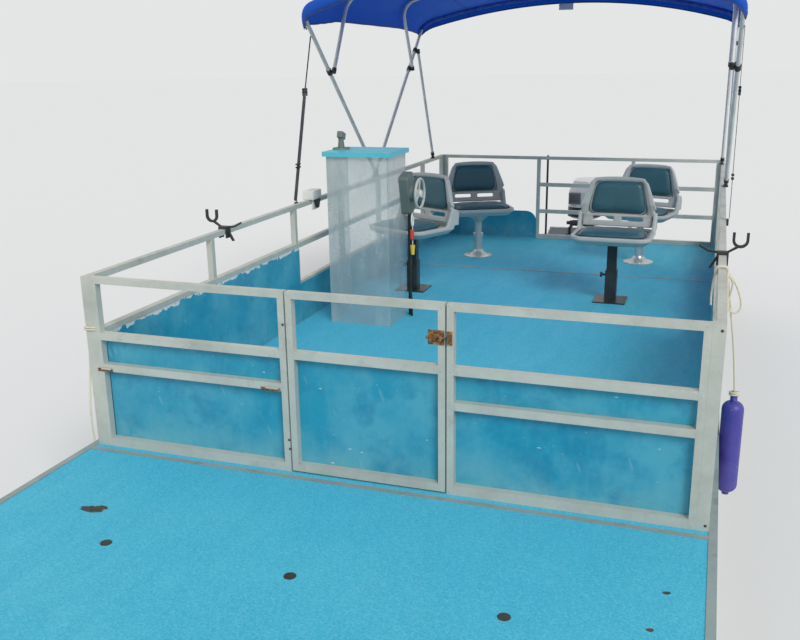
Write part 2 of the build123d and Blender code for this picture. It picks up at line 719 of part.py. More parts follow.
# Electronics mount: a round foot, a ball socket and a tilted cradle
mount_x = console_left + 25.0
mount_y = from_bow(mount_aft)
mount_z = console_z1 + weld_gap + top_board + weld_gap
with BuildPart() as electronics_mount:
    with BuildSketch(Plane(origin=(mount_x, mount_y, mount_z))):
        Circle(52.0)
    extrude(amount=9.0, taper=25.0)
    with BuildSketch(Plane(origin=(mount_x, mount_y, mount_z + 8.0))):
        Circle(20.0)
    extrude(amount=52.0, taper=6.0)
    with BuildSketch(Plane(origin=(mount_x, mount_y, mount_z + 62.0), z_dir=(0, 0.35, 1))):
        RectangleRounded(62.0, 34.0, 8.0)
    extrude(amount=34.0)
    with BuildSketch(Plane(origin=(mount_x, mount_y, mount_z + 55.0))):
        Circle(17.0)
    extrude(amount=20.0)
save(electronics_mount, "electronics_mount")

# Remote control box on the console's port side, raked aft at its foot
box_x0 = console_right + weld_gap
box_thickness = 55.0
box_centre_y = from_bow(box_aft)
box_centre_z = deck_z + box_height
box_rake = radians(14.0)
box_plane = Plane(origin=(box_x0, box_centre_y, box_centre_z), x_dir=(0, cos(box_rake), sin(box_rake)),
                  z_dir=(1, 0, 0))
hub_r = 50.0
hub_length = 26.0
wheel_shaft_r = 8.0
with BuildPart() as control_box:
    with BuildSketch(box_plane):
        RectangleRounded(118.0, 235.0, 22.0)
    extrude(amount=box_thickness)
    box_rim = control_box.faces().sort_by(Axis.X)[-1].edges()
    chamfer(box_rim, 6.0)
    with BuildSketch(box_plane.offset(box_thickness - 1.0)):
        Circle(hub_r)
    extrude(amount=hub_length, taper=8.0)
    with BuildSketch(box_plane.offset(box_thickness)):
        Circle(wheel_shaft_r)
    extrude(amount=hub_length + 20.0)
save(control_box, "control_box")

# Hand wheel on the control box: a ring, three spokes and a boss on a stub shaft
wheel_r = 92.0
wheel_rim_r = 8.0
wheel_x = box_x0 + box_thickness + hub_length + 22.0
wheel_plane = Plane(origin=(wheel_x, box_centre_y, box_centre_z), x_dir=(0, 1, 0), z_dir=(1, 0, 0))
with BuildPart() as hand_wheel:
    with BuildSketch(Plane(origin=(wheel_x, box_centre_y, box_centre_z), x_dir=(0, 1, 0), z_dir=(0, 0, 1))):
        with Locations((wheel_r - wheel_rim_r, 0)):
            Circle(wheel_rim_r)
    revolve(axis=Axis((wheel_x, box_centre_y, box_centre_z), (1, 0, 0)))
    with BuildSketch(wheel_plane.offset(-20.0)):
        Circle(24.0)
    extrude(amount=26.0)
    for angle in (radians(90.0), radians(210.0), radians(330.0)):
        reach = wheel_r - wheel_rim_r
        end = (wheel_x, box_centre_y + reach * cos(angle), box_centre_z + reach * sin(angle))
        rod((wheel_x - 6.0, box_centre_y, box_centre_z), end, 6.0)
    with BuildSketch(wheel_plane.offset(-21.0)):
        Circle(wheel_shaft_r + pin_clearance)
    extrude(amount=21.0, mode=Mode.SUBTRACT)
save(hand_wheel, "hand_wheel")

# Cable loom from the control box down the console to the deck
loom_r = 9.0
loom_x = box_x0 + 26.0
with BuildPart() as helm_cables:
    foot_y = box_centre_y + 30.0
    rod((loom_x, foot_y, deck_z + weld_gap), (loom_x, foot_y, box_centre_z - 122.0), loom_r)
save(helm_cables, "helm_cables")

# Seats
seat_table = (
    # name, side, distance in from the fence, distance aft, pan height, heading, square post
    ("helm", -1, 410.0, 2850.0, 385.0, -26.0, True),
    ("front_port", 1, 643.0, 2902.0, 385.0, -2.0, True),
    ("rear_starboard", -1, 558.0, 4034.0, 340.0, 28.0, False),
    ("rear_port", 1, 571.0, 4106.0, 340.0, -14.0, False),
)
lug_half = seat_width / 2 - ear_thickness - ear_clearance
recline = radians(back_recline)
back_plane = Plane(origin=(0, hinge_aft, hinge_up), x_dir=(1, 0, 0), z_dir=(0, -cos(recline), sin(recline)))
hinge_pin_r = 6.0
hinge_pin_length = 24.0
front_y = hinge_aft + 40.0 - pan_depth
pan_mid_y = front_y + pan_depth / 2

with BuildPart() as seat_pan:
    with BuildSketch(Plane(origin=(0, pan_mid_y, 0))):
        RectangleRounded(seat_width - 70.0, pan_depth - 70.0, 60.0)
    with BuildSketch(Plane(origin=(0, pan_mid_y, pan_floor))):
        RectangleRounded(seat_width, pan_depth, 80.0)
    loft()
    with BuildSketch(Plane(origin=(0, pan_mid_y, pan_floor))):
        RectangleRounded(seat_width, pan_depth, 80.0)
        RectangleRounded(recess_width, pan_depth - 50.0, 58.0, mode=Mode.SUBTRACT)
    extrude(amount=pan_rim - pan_floor)
    for side in (-1, 1):
        inner_face = side * (seat_width / 2 - ear_thickness)
        with BuildSketch(Plane.YZ.offset(inner_face)):
            with Locations((hinge_aft, hinge_up)):
                Circle(ear_r)
            with BuildLine():
                ear_z = pan_rim + weld_gap
                Polyline((hinge_aft - ear_r, hinge_up), (hinge_aft + ear_r, hinge_up),
                         (hinge_aft + ear_r - 4.0, ear_z), (hinge_aft - ear_r - 34.0, ear_z),
                         (hinge_aft - ear_r, hinge_up))
            make_face()
        extrude(amount=side * ear_thickness)
        with BuildSketch(Plane.YZ.offset(inner_face)):
            with Locations((hinge_aft, hinge_up)):
                Circle(hinge_pin_r)
        extrude(amount=-side * hinge_pin_length)
    with BuildSketch(Plane.XY.offset(-weld_gap)):
        Circle(seat_boss_r)
    extrude(amount=weld_gap - seat_boss_height)

with BuildPart() as pan_pad:
    pad_front = front_y + 25.0 + pad_gap
    pad_rear = hinge_aft - 68.0
    with BuildSketch(Plane(origin=(0, (pad_front + pad_rear) / 2, pan_floor + seat_gap))):
        RectangleRounded(recess_width - 2 * pad_gap, pad_rear - pad_front, 56.0)
    extrude(amount=pan_pad_top - pan_floor - seat_gap)
    fillet(pan_pad.faces().sort_by(Axis.Z)[-1].edges(), 16.0)

# Back shell: end columns with the hinge bores, a foot bar, a web between the hand slots, and the plate
column_inner = 157.0
slot_low = -20.0
slot_high = 6.0
slot_inner = 24.0
shoulder = ear_r + 10.0
back_top_half = 205.0
g = weld_gap
with BuildPart() as seat_back:
    with BuildSketch(back_plane.offset(-back_rear)):
        for side in (-1, 1):
            with BuildLine():
                Polyline((side * (column_inner + g), -back_foot), (side * lug_half, -back_foot),
                         (side * lug_half, shoulder), (side * (column_inner + g), shoulder),
                         (side * (column_inner + g), -back_foot))
            make_face()
        with Locations((0, (slot_low - back_foot) / 2)):
            Rectangle(2 * column_inner, slot_low + back_foot)
        with Locations((0, (slot_high + slot_low) / 2)):
            Rectangle(2 * slot_inner, slot_high - slot_low - 2 * g)
        with Locations((0, (slot_high + shoulder) / 2)):
            Rectangle(2 * column_inner, shoulder - slot_high)
        with BuildLine():
            plate_foot = shoulder + g
            Polyline((-lug_half, plate_foot), (lug_half, plate_foot), (seat_width / 2, plate_foot + 10.0),
                     (back_top_half, back_height), (-back_top_half, back_height),
                     (-seat_width / 2, plate_foot + 10.0), (-lug_half, plate_foot))
        make_face()
    extrude(amount=back_rear + back_front)
    top_edges = seat_back.edges().filter_by(Axis((0, 0, 0), back_plane.z_dir)).sort_by(Axis.Z)[-2:]
    fillet(top_edges, 60.0)
    with BuildSketch(back_plane.offset(-back_rear + 8.0)):
        with BuildLine():
            pocket_top = back_height - 18.0
            Polyline((-192.0, 24.0), (192.0, 24.0), (170.0, pocket_top), (-170.0, pocket_top),
                     (-192.0, 24.0))
        make_face()
    extrude(amount=back_rear + back_front, mode=Mode.SUBTRACT)
    for side in (-1, 1):
        with BuildSketch(Plane.YZ.offset(side * (lug_half + 1.0))):
            with Locations((hinge_aft, hinge_up)):
                Circle(hinge_pin_r + pin_clearance)
        extrude(amount=-side * (hinge_pin_length + 2.0), mode=Mode.SUBTRACT)

with BuildPart() as back_pad:
    with BuildSketch(back_plane.offset(-back_rear + 8.0 + seat_gap)):
        with BuildLine():
            pad_top = back_height - 20.0
            Polyline((-190.0, 26.0), (190.0, 26.0), (168.0, pad_top), (-168.0, pad_top), (-190.0, 26.0))
        make_face()
    extrude(amount=back_rear - 8.0 - seat_gap + 24.0)
    pad_corners = back_pad.edges().filter_by(Axis((0, 0, 0), back_plane.z_dir))
    fillet(pad_corners, 34.0)

seat_pieces = (
    # suffix, piece
    ("pan", seat_pan),
    ("pan_pad", pan_pad),
    ("back", seat_back),
    ("back_pad", back_pad),
)
for name, side, inset, aft, height, heading, square in seat_table:
    place = Location((side * (fence_half - inset), from_bow(aft), deck_z + height), (0, 0, heading))
    for suffix, piece in seat_pieces:
        with BuildPart() as placed:
            with Locations(place):
                add(piece.part)
        save(placed, name + "_" + suffix)

# Pedestals: square black posts for the two forward seats, spun round ones for the others.
# Each is stacked from plain members that stand a weld gap apart.
post_plate = 200.0
post_plate_height = 8.0
post_split = 200.0
knob_z = 165.0
with BuildPart() as square_pedestals:
    for name, side, inset, aft, height, heading, square in seat_table:
        if not square:
            continue
        x = side * (fence_half - inset)
        y = from_bow(aft)
        top = height - seat_boss_height - bearing_gap
        members = (
            # lower face, upper face, width, corner radius
            (weld_gap, post_plate_height, post_plate, 8.0),
            (post_plate_height + weld_gap, post_split, 72.0, 6.0),
            (post_split + weld_gap, top - 7.0 - weld_gap, 60.0, 5.0),
            (top - 7.0, top, 185.0, 10.0),
        )
        for low, high, width, corner in members:
            with BuildSketch(Plane(origin=(x, y, deck_z + low))):
                RectangleRounded(width, width, corner)
            extrude(amount=high - low)
        for start, end, radius in ((0.2, 20.0, 7.0), (20.2, 34.0, 16.0)):
            with BuildSketch(Plane(origin=(x - 36.0 - start, y, deck_z + knob_z), z_dir=(-1, 0, 0))):
                Circle(radius)
            extrude(amount=end - start)
save(square_pedestals, "square_pedestals")

flange_r = 110.0
round_tube_r = 32.0
with BuildPart() as round_pedestals:
    for name, side, inset, aft, height, heading, square in seat_table:
        if square:
            continue
        x = side * (fence_half - inset)
        y = from_bow(aft)
        top = height - seat_boss_height - bearing_gap
        with BuildSketch(Plane(origin=(x, y, deck_z), x_dir=(1, 0, 0), z_dir=(0, -1, 0))):
            with BuildLine():
                Line((0, weld_gap), (flange_r, weld_gap))
                Line((flange_r, weld_gap), (flange_r, 6.0))
                ThreePointArc((flange_r, 6.0), (62.0, 20.0), (round_tube_r + 3.0, 52.0))
                Line((round_tube_r + 3.0, 52.0), (0, 52.0))
                Line((0, 52.0), (0, weld_gap))
            make_face()
        revolve(axis=Axis((x, y, deck_z), (0, 0, 1)))
        members = (
            # lower face, upper face, lower radius, upper radius
            (52.2, 150.0, round_tube_r, round_tube_r),
            (150.2, 180.0, round_tube_r + 7.0, round_tube_r + 7.0),
            (180.2, top - 60.2, 26.0, 26.0),
            (top - 60.0, top - 6.0, 26.0, 84.0),
            (top - 5.8, top, 84.0, 84.0),
        )
        for low, high, low_r, high_r in members:
            with Locations((x, y, deck_z + (low + high) / 2)):
                if low_r == high_r:
                    Cylinder(low_r, high - low)
                else:
                    Cone(low_r, high_r, high - low)
save(round_pedestals, "round_pedestals")

# Motor pod: a welded box under the aft deck, the transom board behind it and a gusset at each end
pod_half = 280.0
pod_fore_y = transom_y - pod_length
pod_bottom_z = 430.0
pod_wall = 5.0
pod_aft_y = transom_y - transom_thickness - weld_gap
pod_top_z = channel_z - weld_gap
with BuildPart() as transom_pod:
    for inset, mode in ((0.0, Mode.ADD), (pod_wall, Mode.SUBTRACT)):
        with BuildSketch(Plane.YZ.offset(-pod_half + inset)):
            with BuildLine():
                fore = pod_fore_y + 2.2 * inset
                low = pod_bottom_z + inset
                high = pod_top_z - inset
                aft = pod_aft_y - inset
                step = pod_fore_y + 320.0 + inset
                Polyline((fore, high), (step, low), (aft, low), (aft, high), (fore, high))
            make_face()
        extrude(amount=2 * (pod_half - inset), mode=mode)
    slab(-pod_half, pod_half, transom_y - transom_thickness, transom_y, pod_bottom_z, transom_top_z)
    for x in (-pod_half, pod_half - 8.0):
        with BuildSketch(Plane.YZ.offset(x)):
            with BuildLine():
                gusset_z = pod_top_z + weld_gap
                gusset_top = transom_top_z - 12.0
                Polyline((deck_aft_y + 20.0, gusset_z), (pod_aft_y, gusset_z), (pod_aft_y, gusset_top),
                         (pod_aft_y - 60.0, gusset_top), (deck_aft_y + 20.0, gusset_z))
            make_face()
        extrude(amount=8.0)
save(transom_pod, "transom_pod")

# Clamp bracket: two cheeks hooked over the transom, joined by the tilt tube
cheek_inner = 88.0
cheek_thickness = 22.0
clamp_gap = 0.3
with BuildPart() as motor_clamp:
    for x in (-cheek_inner - cheek_thickness, cheek_inner):
        with BuildSketch(Plane.YZ.offset(x)):
            with BuildLine():
                fore = transom_y - transom_thickness - clamp_gap
                aft = transom_y + clamp_gap
                top = transom_top_z + clamp_gap
                Polyline((fore - 16.0, top + 9.0), (tilt_y - 24.0, top + 9.0),
                         (tilt_y - 12.0, tilt_z + 25.0), (tilt_y + 24.0, tilt_z + 14.0),
                         (tilt_y + 22.0, tilt_z - 60.0),
                         (transom_y + 30.0, 560.0), (aft, 520.0), (aft, top), (fore, top),
                         (fore, clamp_hook_z), (fore - 16.0, clamp_hook_z), (fore - 16.0, top + 9.0))
            make_face()
        extrude(amount=cheek_thickness)
    rod((-cheek_inner - 52.0, tilt_y, tilt_z), (cheek_inner + 52.0, tilt_y, tilt_z), tilt_tube_r)
    for x in (-cheek_inner - cheek_thickness / 2, cheek_inner + cheek_thickness / 2):
        fore = transom_y - transom_thickness - clamp_gap
        rod((x, fore - 70.0, clamp_screw_z), (x, fore - 10.0, clamp_screw_z), 8.0)
        rod((x, fore - 74.0, clamp_screw_z), (x, fore - 66.0, clamp_screw_z), 26.0)
save(motor_clamp, "motor_clamp")

# Swivel bracket: a barrel on the tilt tube and an upright bearing for the kingpin
swivel_barrel_r = 27.0
swivel_r = 34.0
swivel_low_z = 560.0
swivel_top_z = 812.0
swivel_half = cheek_inner - 1.0
with BuildPart() as motor_swivel:
    rod((-swivel_half, tilt_y, tilt_z), (swivel_half, tilt_y, tilt_z), swivel_barrel_r)
    with BuildSketch(Plane(origin=(0, steer_y, swivel_low_z))):
        Circle(swivel_r)
    extrude(amount=swivel_top_z - swivel_low_z)
    with BuildSketch(Plane.YZ.offset(-24.0)):
        with BuildLine():
            web_z = swivel_low_z + 10.0
            Polyline((tilt_y, swivel_top_z), (steer_y, swivel_top_z), (steer_y, web_z),
                     (steer_y - 20.0, web_z), (tilt_y + 4.0, tilt_z - 70.0), (tilt_y, swivel_top_z))
        make_face()
    extrude(amount=48.0)
    with BuildSketch(Plane.XY.offset(tilt_z - 22.0)):
        with BuildLine():
            arm_y = steer_y + 20.0
            Polyline((-swivel_half, tilt_y), (swivel_half, tilt_y), (30.0, arm_y), (-30.0, arm_y),
                     (-swivel_half, tilt_y))
        make_face()
    extrude(amount=34.0)
    with BuildSketch(Plane.YZ.offset(-cheek_inner - 10.0)):
        with Locations((tilt_y, tilt_z)):
            Circle(tilt_tube_r + pin_clearance)
    extrude(amount=2 * cheek_inner + 20.0, mode=Mode.SUBTRACT)
    with BuildSketch(Plane(origin=(0, steer_y, swivel_low_z - 10.0))):
        Circle(kingpin_r + pin_clearance)
    extrude(amount=swivel_top_z - swivel_low_z + 20.0, mode=Mode.SUBTRACT)
save(motor_swivel, "motor_swivel")

# Leg: kingpin, lower cowl pan, exhaust housing, anti-ventilation plate, gearcase and skeg
leg_front_y = steer_y + swivel_r + 8.0
leg_sections = (
    # height, half width, distance aft of the leg's front, half length
    (cowl_bottom_z - 34.0, 78.0, 118.0, 118.0),
    (640.0, 46.0, 72.0, 72.0),
    (plate_z, 30.0, 82.0, 78.0),
)
with BuildPart() as motor_leg:
    for height, half_x, centre, half_y in leg_sections:
        with BuildSketch(Plane(origin=(0, leg_front_y + centre, height))):
            Ellipse(half_x, half_y)
    loft(ruled=True)
    with BuildSketch(Plane(origin=(0, steer_y, swivel_low_z - 40.0))):
        Circle(kingpin_r)
    extrude(amount=swivel_top_z - swivel_low_z + 62.0)
    slab(-26.0, 26.0, steer_y - 22.0, leg_front_y + 60.0, swivel_low_z - 52.0, swivel_low_z - 5.0)
    slab(-40.0, 40.0, steer_y - 30.0, leg_front_y + 90.0, swivel_top_z + 5.0, swivel_top_z + 24.0)
    with BuildSketch(Plane(origin=(0, (cowl_front_y + cowl_aft_y) / 2 + 4.0, swivel_top_z + 20.0))):
        RectangleRounded(2 * cowl_half - 60.0, cowl_aft_y - cowl_front_y - 70.0, 90.0)
    with BuildSketch(Plane(origin=(0, (cowl_front_y + cowl_aft_y) / 2, cowl_bottom_z - seat_gap))):
        RectangleRounded(2 * cowl_half, cowl_aft_y - cowl_front_y, 110.0)
    loft()
    with BuildSketch(Plane(origin=(0, leg_front_y + 120.0, plate_z))):
        with BuildLine():
            Line((-42.0, -120.0), (42.0, -120.0))
            Line((42.0, -120.0), (78.0, 10.0))
            Line((78.0, 10.0), (64.0, 150.0))
            ThreePointArc((64.0, 150.0), (0.0, 172.0), (-64.0, 150.0))
            Line((-64.0, 150.0), (-78.0, 10.0))
            Line((-78.0, 10.0), (-42.0, -120.0))
        make_face()
    extrude(amount=7.0)
    with BuildSketch(Plane(origin=(0, leg_front_y + 74.0, shaft_z))):
        Ellipse(17.0, 66.0)
    extrude(amount=plate_z - shaft_z + 2.0)
    with BuildSketch(Plane(origin=(0, 0, shaft_z), x_dir=(0, 1, 0), z_dir=(1, 0, 0))):
        with BuildLine():
            nose_y = leg_front_y - 28.0
            aft_y = prop_y - 2.0
            Spline((nose_y, 0), (nose_y + 40.0, 27.0), (nose_y + 120.0, 36.0),
                   tangents=((0, 1), (1, 0)))
            Line((nose_y + 120.0, 36.0), (aft_y, 33.0))
            Line((aft_y, 33.0), (aft_y, 0))
            Line((aft_y, 0), (nose_y, 0))
        make_face()
    revolve(axis=Axis((0, 0, shaft_z), (0, 1, 0)))
    with BuildSketch(Plane.YZ.offset(-6.0)):
        with BuildLine():
            skeg_y = leg_front_y + 14.0
            Polyline((skeg_y, shaft_z), (skeg_y + 60.0, skeg_z), (skeg_y + 114.0, skeg_z),
                     (aft_y - 24.0, shaft_z), (skeg_y, shaft_z))
        make_face()
    extrude(amount=12.0)
    with BuildSketch(Plane(origin=(0, prop_y - 4.0, shaft_z), z_dir=(0, 1, 0))):
        Circle(9.0)
    extrude(amount=prop_length + 14.0)
save(motor_leg, "motor_leg")

# Cowl: a hollow cover with a domed top, over the engine block
cowl_wall = 5.0
cowl_mid_y = (cowl_front_y + cowl_aft_y) / 2
cowl_sections = (
    # height, half width, length
    (cowl_bottom_z, cowl_half, cowl_aft_y - cowl_front_y),
    (cowl_top_z - 90.0, cowl_half - 4.0, cowl_aft_y - cowl_front_y - 12.0),
    (cowl_top_z, cowl_half - 42.0, cowl_aft_y - cowl_front_y - 96.0),
)


def cowl_faces(inset):
    """The cowl's sections from the bottom up, each moved inward by inset."""
    faces = []
    for height, half_x, length in cowl_sections:
        level = height if height == cowl_bottom_z else height - inset
        with BuildSketch(Plane(origin=(0, cowl_mid_y, level))) as section:
            RectangleRounded(2 * (half_x - inset), length - 2 * inset, min(110.0, half_x - 6.0) - inset)
        faces.append(section.sketch.faces()[0])
    return faces


with BuildPart() as motor_cowl:
    loft(cowl_faces(0.0), ruled=True)
    loft(cowl_faces(cowl_wall), ruled=True, mode=Mode.SUBTRACT)
save(motor_cowl, "motor_cowl")

with BuildPart() as powerhead:
    slab(-95.0, 95.0, cowl_mid_y - 150.0, cowl_mid_y + 150.0, cowl_bottom_z, cowl_top_z - 110.0)
save(powerhead, "powerhead")

# Propeller: a hub with three raked, pitched blades
hub_outer = 33.0
blade_root = 24.0
blade_count = 3
blade_pitch = 300.0
blade_stations = (
    # radius, chord, thickness
    (hub_outer - 6.0, 62.0, 11.0),
    (62.0, 92.0, 8.0),
    (94.0, 88.0, 5.5),
    (prop_r, 40.0, 3.0),
)
hub_mid_y = prop_y + prop_length / 2
with BuildPart() as blade:
    for radius, chord, thickness in blade_stations:
        twist = atan2(blade_pitch, 2 * pi * radius)
        section = Plane(origin=(0, hub_mid_y, shaft_z + radius),
                        x_dir=(cos(twist), sin(twist), 0), z_dir=(0, 0, 1))
        with BuildSketch(section):
            Ellipse(chord / 2, thickness / 2)
    loft(ruled=True)

with BuildPart() as propeller:
    with BuildSketch(Plane(origin=(0, prop_y, shaft_z), z_dir=(0, 1, 0))):
        Circle(hub_outer)
    extrude(amount=prop_length)
    for index in range(blade_count):
        turned = blade.part.rotate(Axis((0, 0, shaft_z), (0, 1, 0)), index * 360.0 / blade_count)
        add(turned)
    with BuildSketch(Plane(origin=(0, prop_y - 1.0, shaft_z), z_dir=(0, 1, 0))):
        Circle(9.0 + pin_clearance)
    extrude(amount=prop_length + 2.0, mode=Mode.SUBTRACT)
save(propeller, "propeller")

# Rod holders: on each side rail a clamp with its lever, a fork that leans out and a hook inboard
fork_r = 27.0
fork_out = 50.0
fork_up = 62.0
hook_reach = 112.0
hook_rise = 37.0
holder_bar = 11.0
with BuildPart() as rod_holders:
    for side in (-1, 1):
        rail_x = side * fence_half
        rail_in = -frame_depth - weld_gap
        face = Plane(origin=(rail_x, from_bow(holder_aft), fence_z + fence_height),
                     x_dir=(side, 0, 0), z_dir=(0, -side, 0))
        with BuildSketch(face):
            with Locations((4.0 + weld_gap, -16.0)):
                Rectangle(8.0, 56.0)
            with Locations(((rail_in + weld_gap) / 2, 6.0 + weld_gap)):
                Rectangle(16.0 - rail_in, 11.6)
            with Locations((rail_in - 4.0, -16.0)):
                Rectangle(8.0, 56.0)
        extrude(amount=20.0, both=True)
        with BuildSketch(face):
            with Locations((fork_out, fork_up)):
                Circle(fork_r + holder_bar / 2)
                Circle(fork_r - holder_bar / 2, mode=Mode.SUBTRACT)
                with Locations((0, fork_r)):
                    Rectangle(4 * fork_r, 2 * fork_r, mode=Mode.SUBTRACT)
                for arm in (-fork_r, fork_r):
                    with Locations((arm, 15.0)):
                        Rectangle(holder_bar, 32.0)
            Polygon((-6.0, 8.0), (7.0, 8.0), (fork_out + 4.0, 36.0), (fork_out - 9.0, 40.0), align=None)
            Polygon((-28.0, 3.0), (38.0 - hook_reach, 9.0), (-hook_reach, hook_rise - 7.0),
                    (5.0 - hook_reach, hook_rise), (40.0 - hook_reach, 18.0), (-28.0, 11.0), align=None)
            Polygon((-36.0, -2.0), (-67.0, -58.0), (-58.0, -60.0), (-36.0, -22.0), align=None)
        extrude(amount=6.0, both=True)
save(rod_holders, "rod_holders")

# Stern pole: a black stay from the deck to the stern fence's top rail
pole_x = -240.0
pole_r = 9.0
pole_y = stern_y + pole_r + 4.0
with BuildPart() as stern_pole:
    rod((pole_x, pole_y, deck_z + weld_gap), (pole_x, pole_y, fence_z + fence_height + 8.0), pole_r)
    for z in (fence_z + 20.0, fence_z + fence_height - 30.0):
        slab(pole_x - 14.0, pole_x + 14.0, stern_y + weld_gap, pole_y, z, z + 16.0)
save(stern_pole, "stern_pole")

# Fender on its line, and the slack loop of the same line over the port rail
fender_x = trim_outer_x + seat_gap + fender_r
fender_y = from_bow(fender_aft)
fender_top_z = deck_z + 160.0
eye_height = 26.0
with BuildPart() as fender:
    fender_low_z = fender_top_z - fender_length
    with BuildSketch(Plane(origin=(fender_x, fender_y, fender_low_z), x_dir=(1, 0, 0), z_dir=(0, -1, 0))):
        with BuildLine():
            end = fender_length
            Line((0, 0), (14.0, 0))
            Line((14.0, 0), (14.0, 12.0))
            ThreePointArc((14.0, 12.0), (fender_r - 8.0, 24.0), (fender_r, 48.0))
            Line((fender_r, 48.0), (fender_r, end - 48.0))
            ThreePointArc((fender_r, end - 48.0), (fender_r - 8.0, end - 24.0), (14.0, end - 12.0))
            Line((14.0, end - 12.0), (14.0, end + eye_height))
            Line((14.0, end + eye_height), (0, end + eye_height))
            Line((0, end + eye_height), (0, 0))
        make_face()
    revolve(axis=Axis((fender_x, fender_y, 0), (0, 0, 1)))
save(fender, "fender")

rail_outer_x = fence_half + seat_gap + line_r
line_top_z = fence_z + fence_height - 12.0
line_points = (
    (rail_outer_x, fender_y, line_top_z),
    (fender_x, fender_y, fender_top_z + eye_height + 0.6),
)
with BuildPart() as fender_line:
    rod(line_points[0], line_points[1], line_r)
save(fender_line, "fender_line")

loop_y = fender_y - 46.0
loop_points = (
    (rail_outer_x, loop_y + 14.0, line_top_z),
    (rail_outer_x + 4.0, loop_y + 22.0, line_top_z - 50.0),
    (rail_outer_x + 8.0, loop_y + 28.0, line_top_z - 104.0),
    (rail_outer_x + 10.0, loop_y + 29.0, line_top_z - 160.0),
    (rail_outer_x + 10.0, loop_y - 29.0, line_top_z - 160.0),
    (rail_outer_x + 8.0, loop_y - 28.0, line_top_z - 104.0),
    (rail_outer_x + 4.0, loop_y - 22.0, line_top_z - 50.0),
    (rail_outer_x, loop_y - 14.0, line_top_z),
)


def corner_radii(points):
    """For each inner point, the largest arc that its two runs allow."""
    radii = []
    for before, corner, after in zip(points[:-2], points[1:-1], points[2:]):
        a = Vector(*before) - Vector(*corner)
        b = Vector(*after) - Vector(*corner)
        turn = radians(180.0 - a.get_angle(b))
        radii.append(0.45 * min(a.length, b.length) / tan(turn / 2))
    return radii


loop_radii = corner_radii(loop_points)
print("line loop radii", [round(r, 1) for r in loop_radii])
with BuildPart() as line_loop:
    with BuildLine() as loop_path:
        FilletPolyline(*loop_points, radius=loop_radii)
    first = Vector(*loop_points[1]) - Vector(*loop_points[0])
    with BuildSketch(Plane(origin=loop_points[0], z_dir=first.normalized())):
        Circle(line_r)
    sweep(path=loop_path.line)
save(line_loop, "line_loop")
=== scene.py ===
"""Looks for the pontoon boat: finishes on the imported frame, canvas, pads, shells, lines and small hardware.

Everything is in metres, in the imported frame. The bow points to -Y, +X is port and +Z is up.
"""

import json
from math import atan2, cos, pi, radians, sin, sqrt

import bmesh
import bpy
from bpy.props import FloatProperty, FloatVectorProperty, IntProperty, PointerProperty
from mathutils import Matrix, Vector


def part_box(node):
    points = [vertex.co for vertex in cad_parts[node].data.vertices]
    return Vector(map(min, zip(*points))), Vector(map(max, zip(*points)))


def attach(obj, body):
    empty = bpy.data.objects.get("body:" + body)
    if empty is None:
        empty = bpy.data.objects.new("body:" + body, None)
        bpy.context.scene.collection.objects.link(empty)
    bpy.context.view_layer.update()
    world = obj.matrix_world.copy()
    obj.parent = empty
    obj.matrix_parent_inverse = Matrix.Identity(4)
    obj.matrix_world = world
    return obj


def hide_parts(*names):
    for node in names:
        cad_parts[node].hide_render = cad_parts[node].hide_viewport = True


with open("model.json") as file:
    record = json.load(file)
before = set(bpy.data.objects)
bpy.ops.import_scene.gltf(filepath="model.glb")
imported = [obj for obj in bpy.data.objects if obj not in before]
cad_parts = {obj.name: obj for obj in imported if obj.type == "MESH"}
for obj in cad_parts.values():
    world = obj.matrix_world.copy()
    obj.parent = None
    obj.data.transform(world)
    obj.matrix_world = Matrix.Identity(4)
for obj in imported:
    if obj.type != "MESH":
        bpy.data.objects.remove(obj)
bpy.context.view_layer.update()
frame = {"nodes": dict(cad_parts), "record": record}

bl_info = {
    "name": "Pontoon boat looks",
    "version": (1, 0, 0),
    "blender": (4, 5, 0),
    "location": "3D View > Sidebar > Pontoon boat",
    "description": "Dresses the packed pontoon boat with canvas, pads, shells, lines, hardware and finishes",
    "category": "Object",
}

# Where the frame's parts are
fence_y = -2.3
deck_z = 0.75
fence_half = 1.18
rail_z = deck_z + 0.7
waterline_z = 0.2
hinge_aft = 0.150
hinge_up = 0.122
back_recline = radians(8.0)
back_height = 0.258
back_half = 0.245
seats = (
    # name, x, y, pan height, heading in degrees
    ("helm", -0.770, fence_y + 2.850, deck_z + 0.385, -26.0),
    ("front_port", 0.537, fence_y + 2.902, deck_z + 0.385, -2.0),
    ("rear_starboard", -0.622, fence_y + 4.034, deck_z + 0.340, 28.0),
    ("rear_port", 0.609, fence_y + 4.106, deck_z + 0.340, -14.0),
)

# Making and light
pad_voxel = 0.006
skin_gap = 0.0005
turn_steps = 24
sky_light = 0.62
lamp_light = 1.7
backdrop = (0.78, 0.79, 0.79, 1)


def linear(red, green, blue):
    """A colour given as 0 to 255 sRGB, in the linear values that nodes use."""
    def one(value):
        value /= 255.0
        return value / 12.92 if value <= 0.04045 else ((value + 0.055) / 1.055) ** 2.4
    return (one(red), one(green), one(blue), 1.0)


def shaded(colour, gain, lift=0.0):
    """A darker or paler colour: each part times gain, plus lift."""
    return tuple(min(1, gain * part + lift) for part in colour[:3]) + (1,)


def colour_setting(name, description, *colour):
    """A colour that the panel shows, given as 0 to 255 sRGB."""
    return FloatVectorProperty(name=name, description=description, subtype="COLOR", size=4, min=0, max=1,
                               default=linear(*colour))


def length_setting(name, description, usual, least, most):
    """A length in metres that the panel shows."""
    return FloatProperty(name=name, description=description, default=usual, min=least, max=most,
                         subtype="DISTANCE", unit="LENGTH")


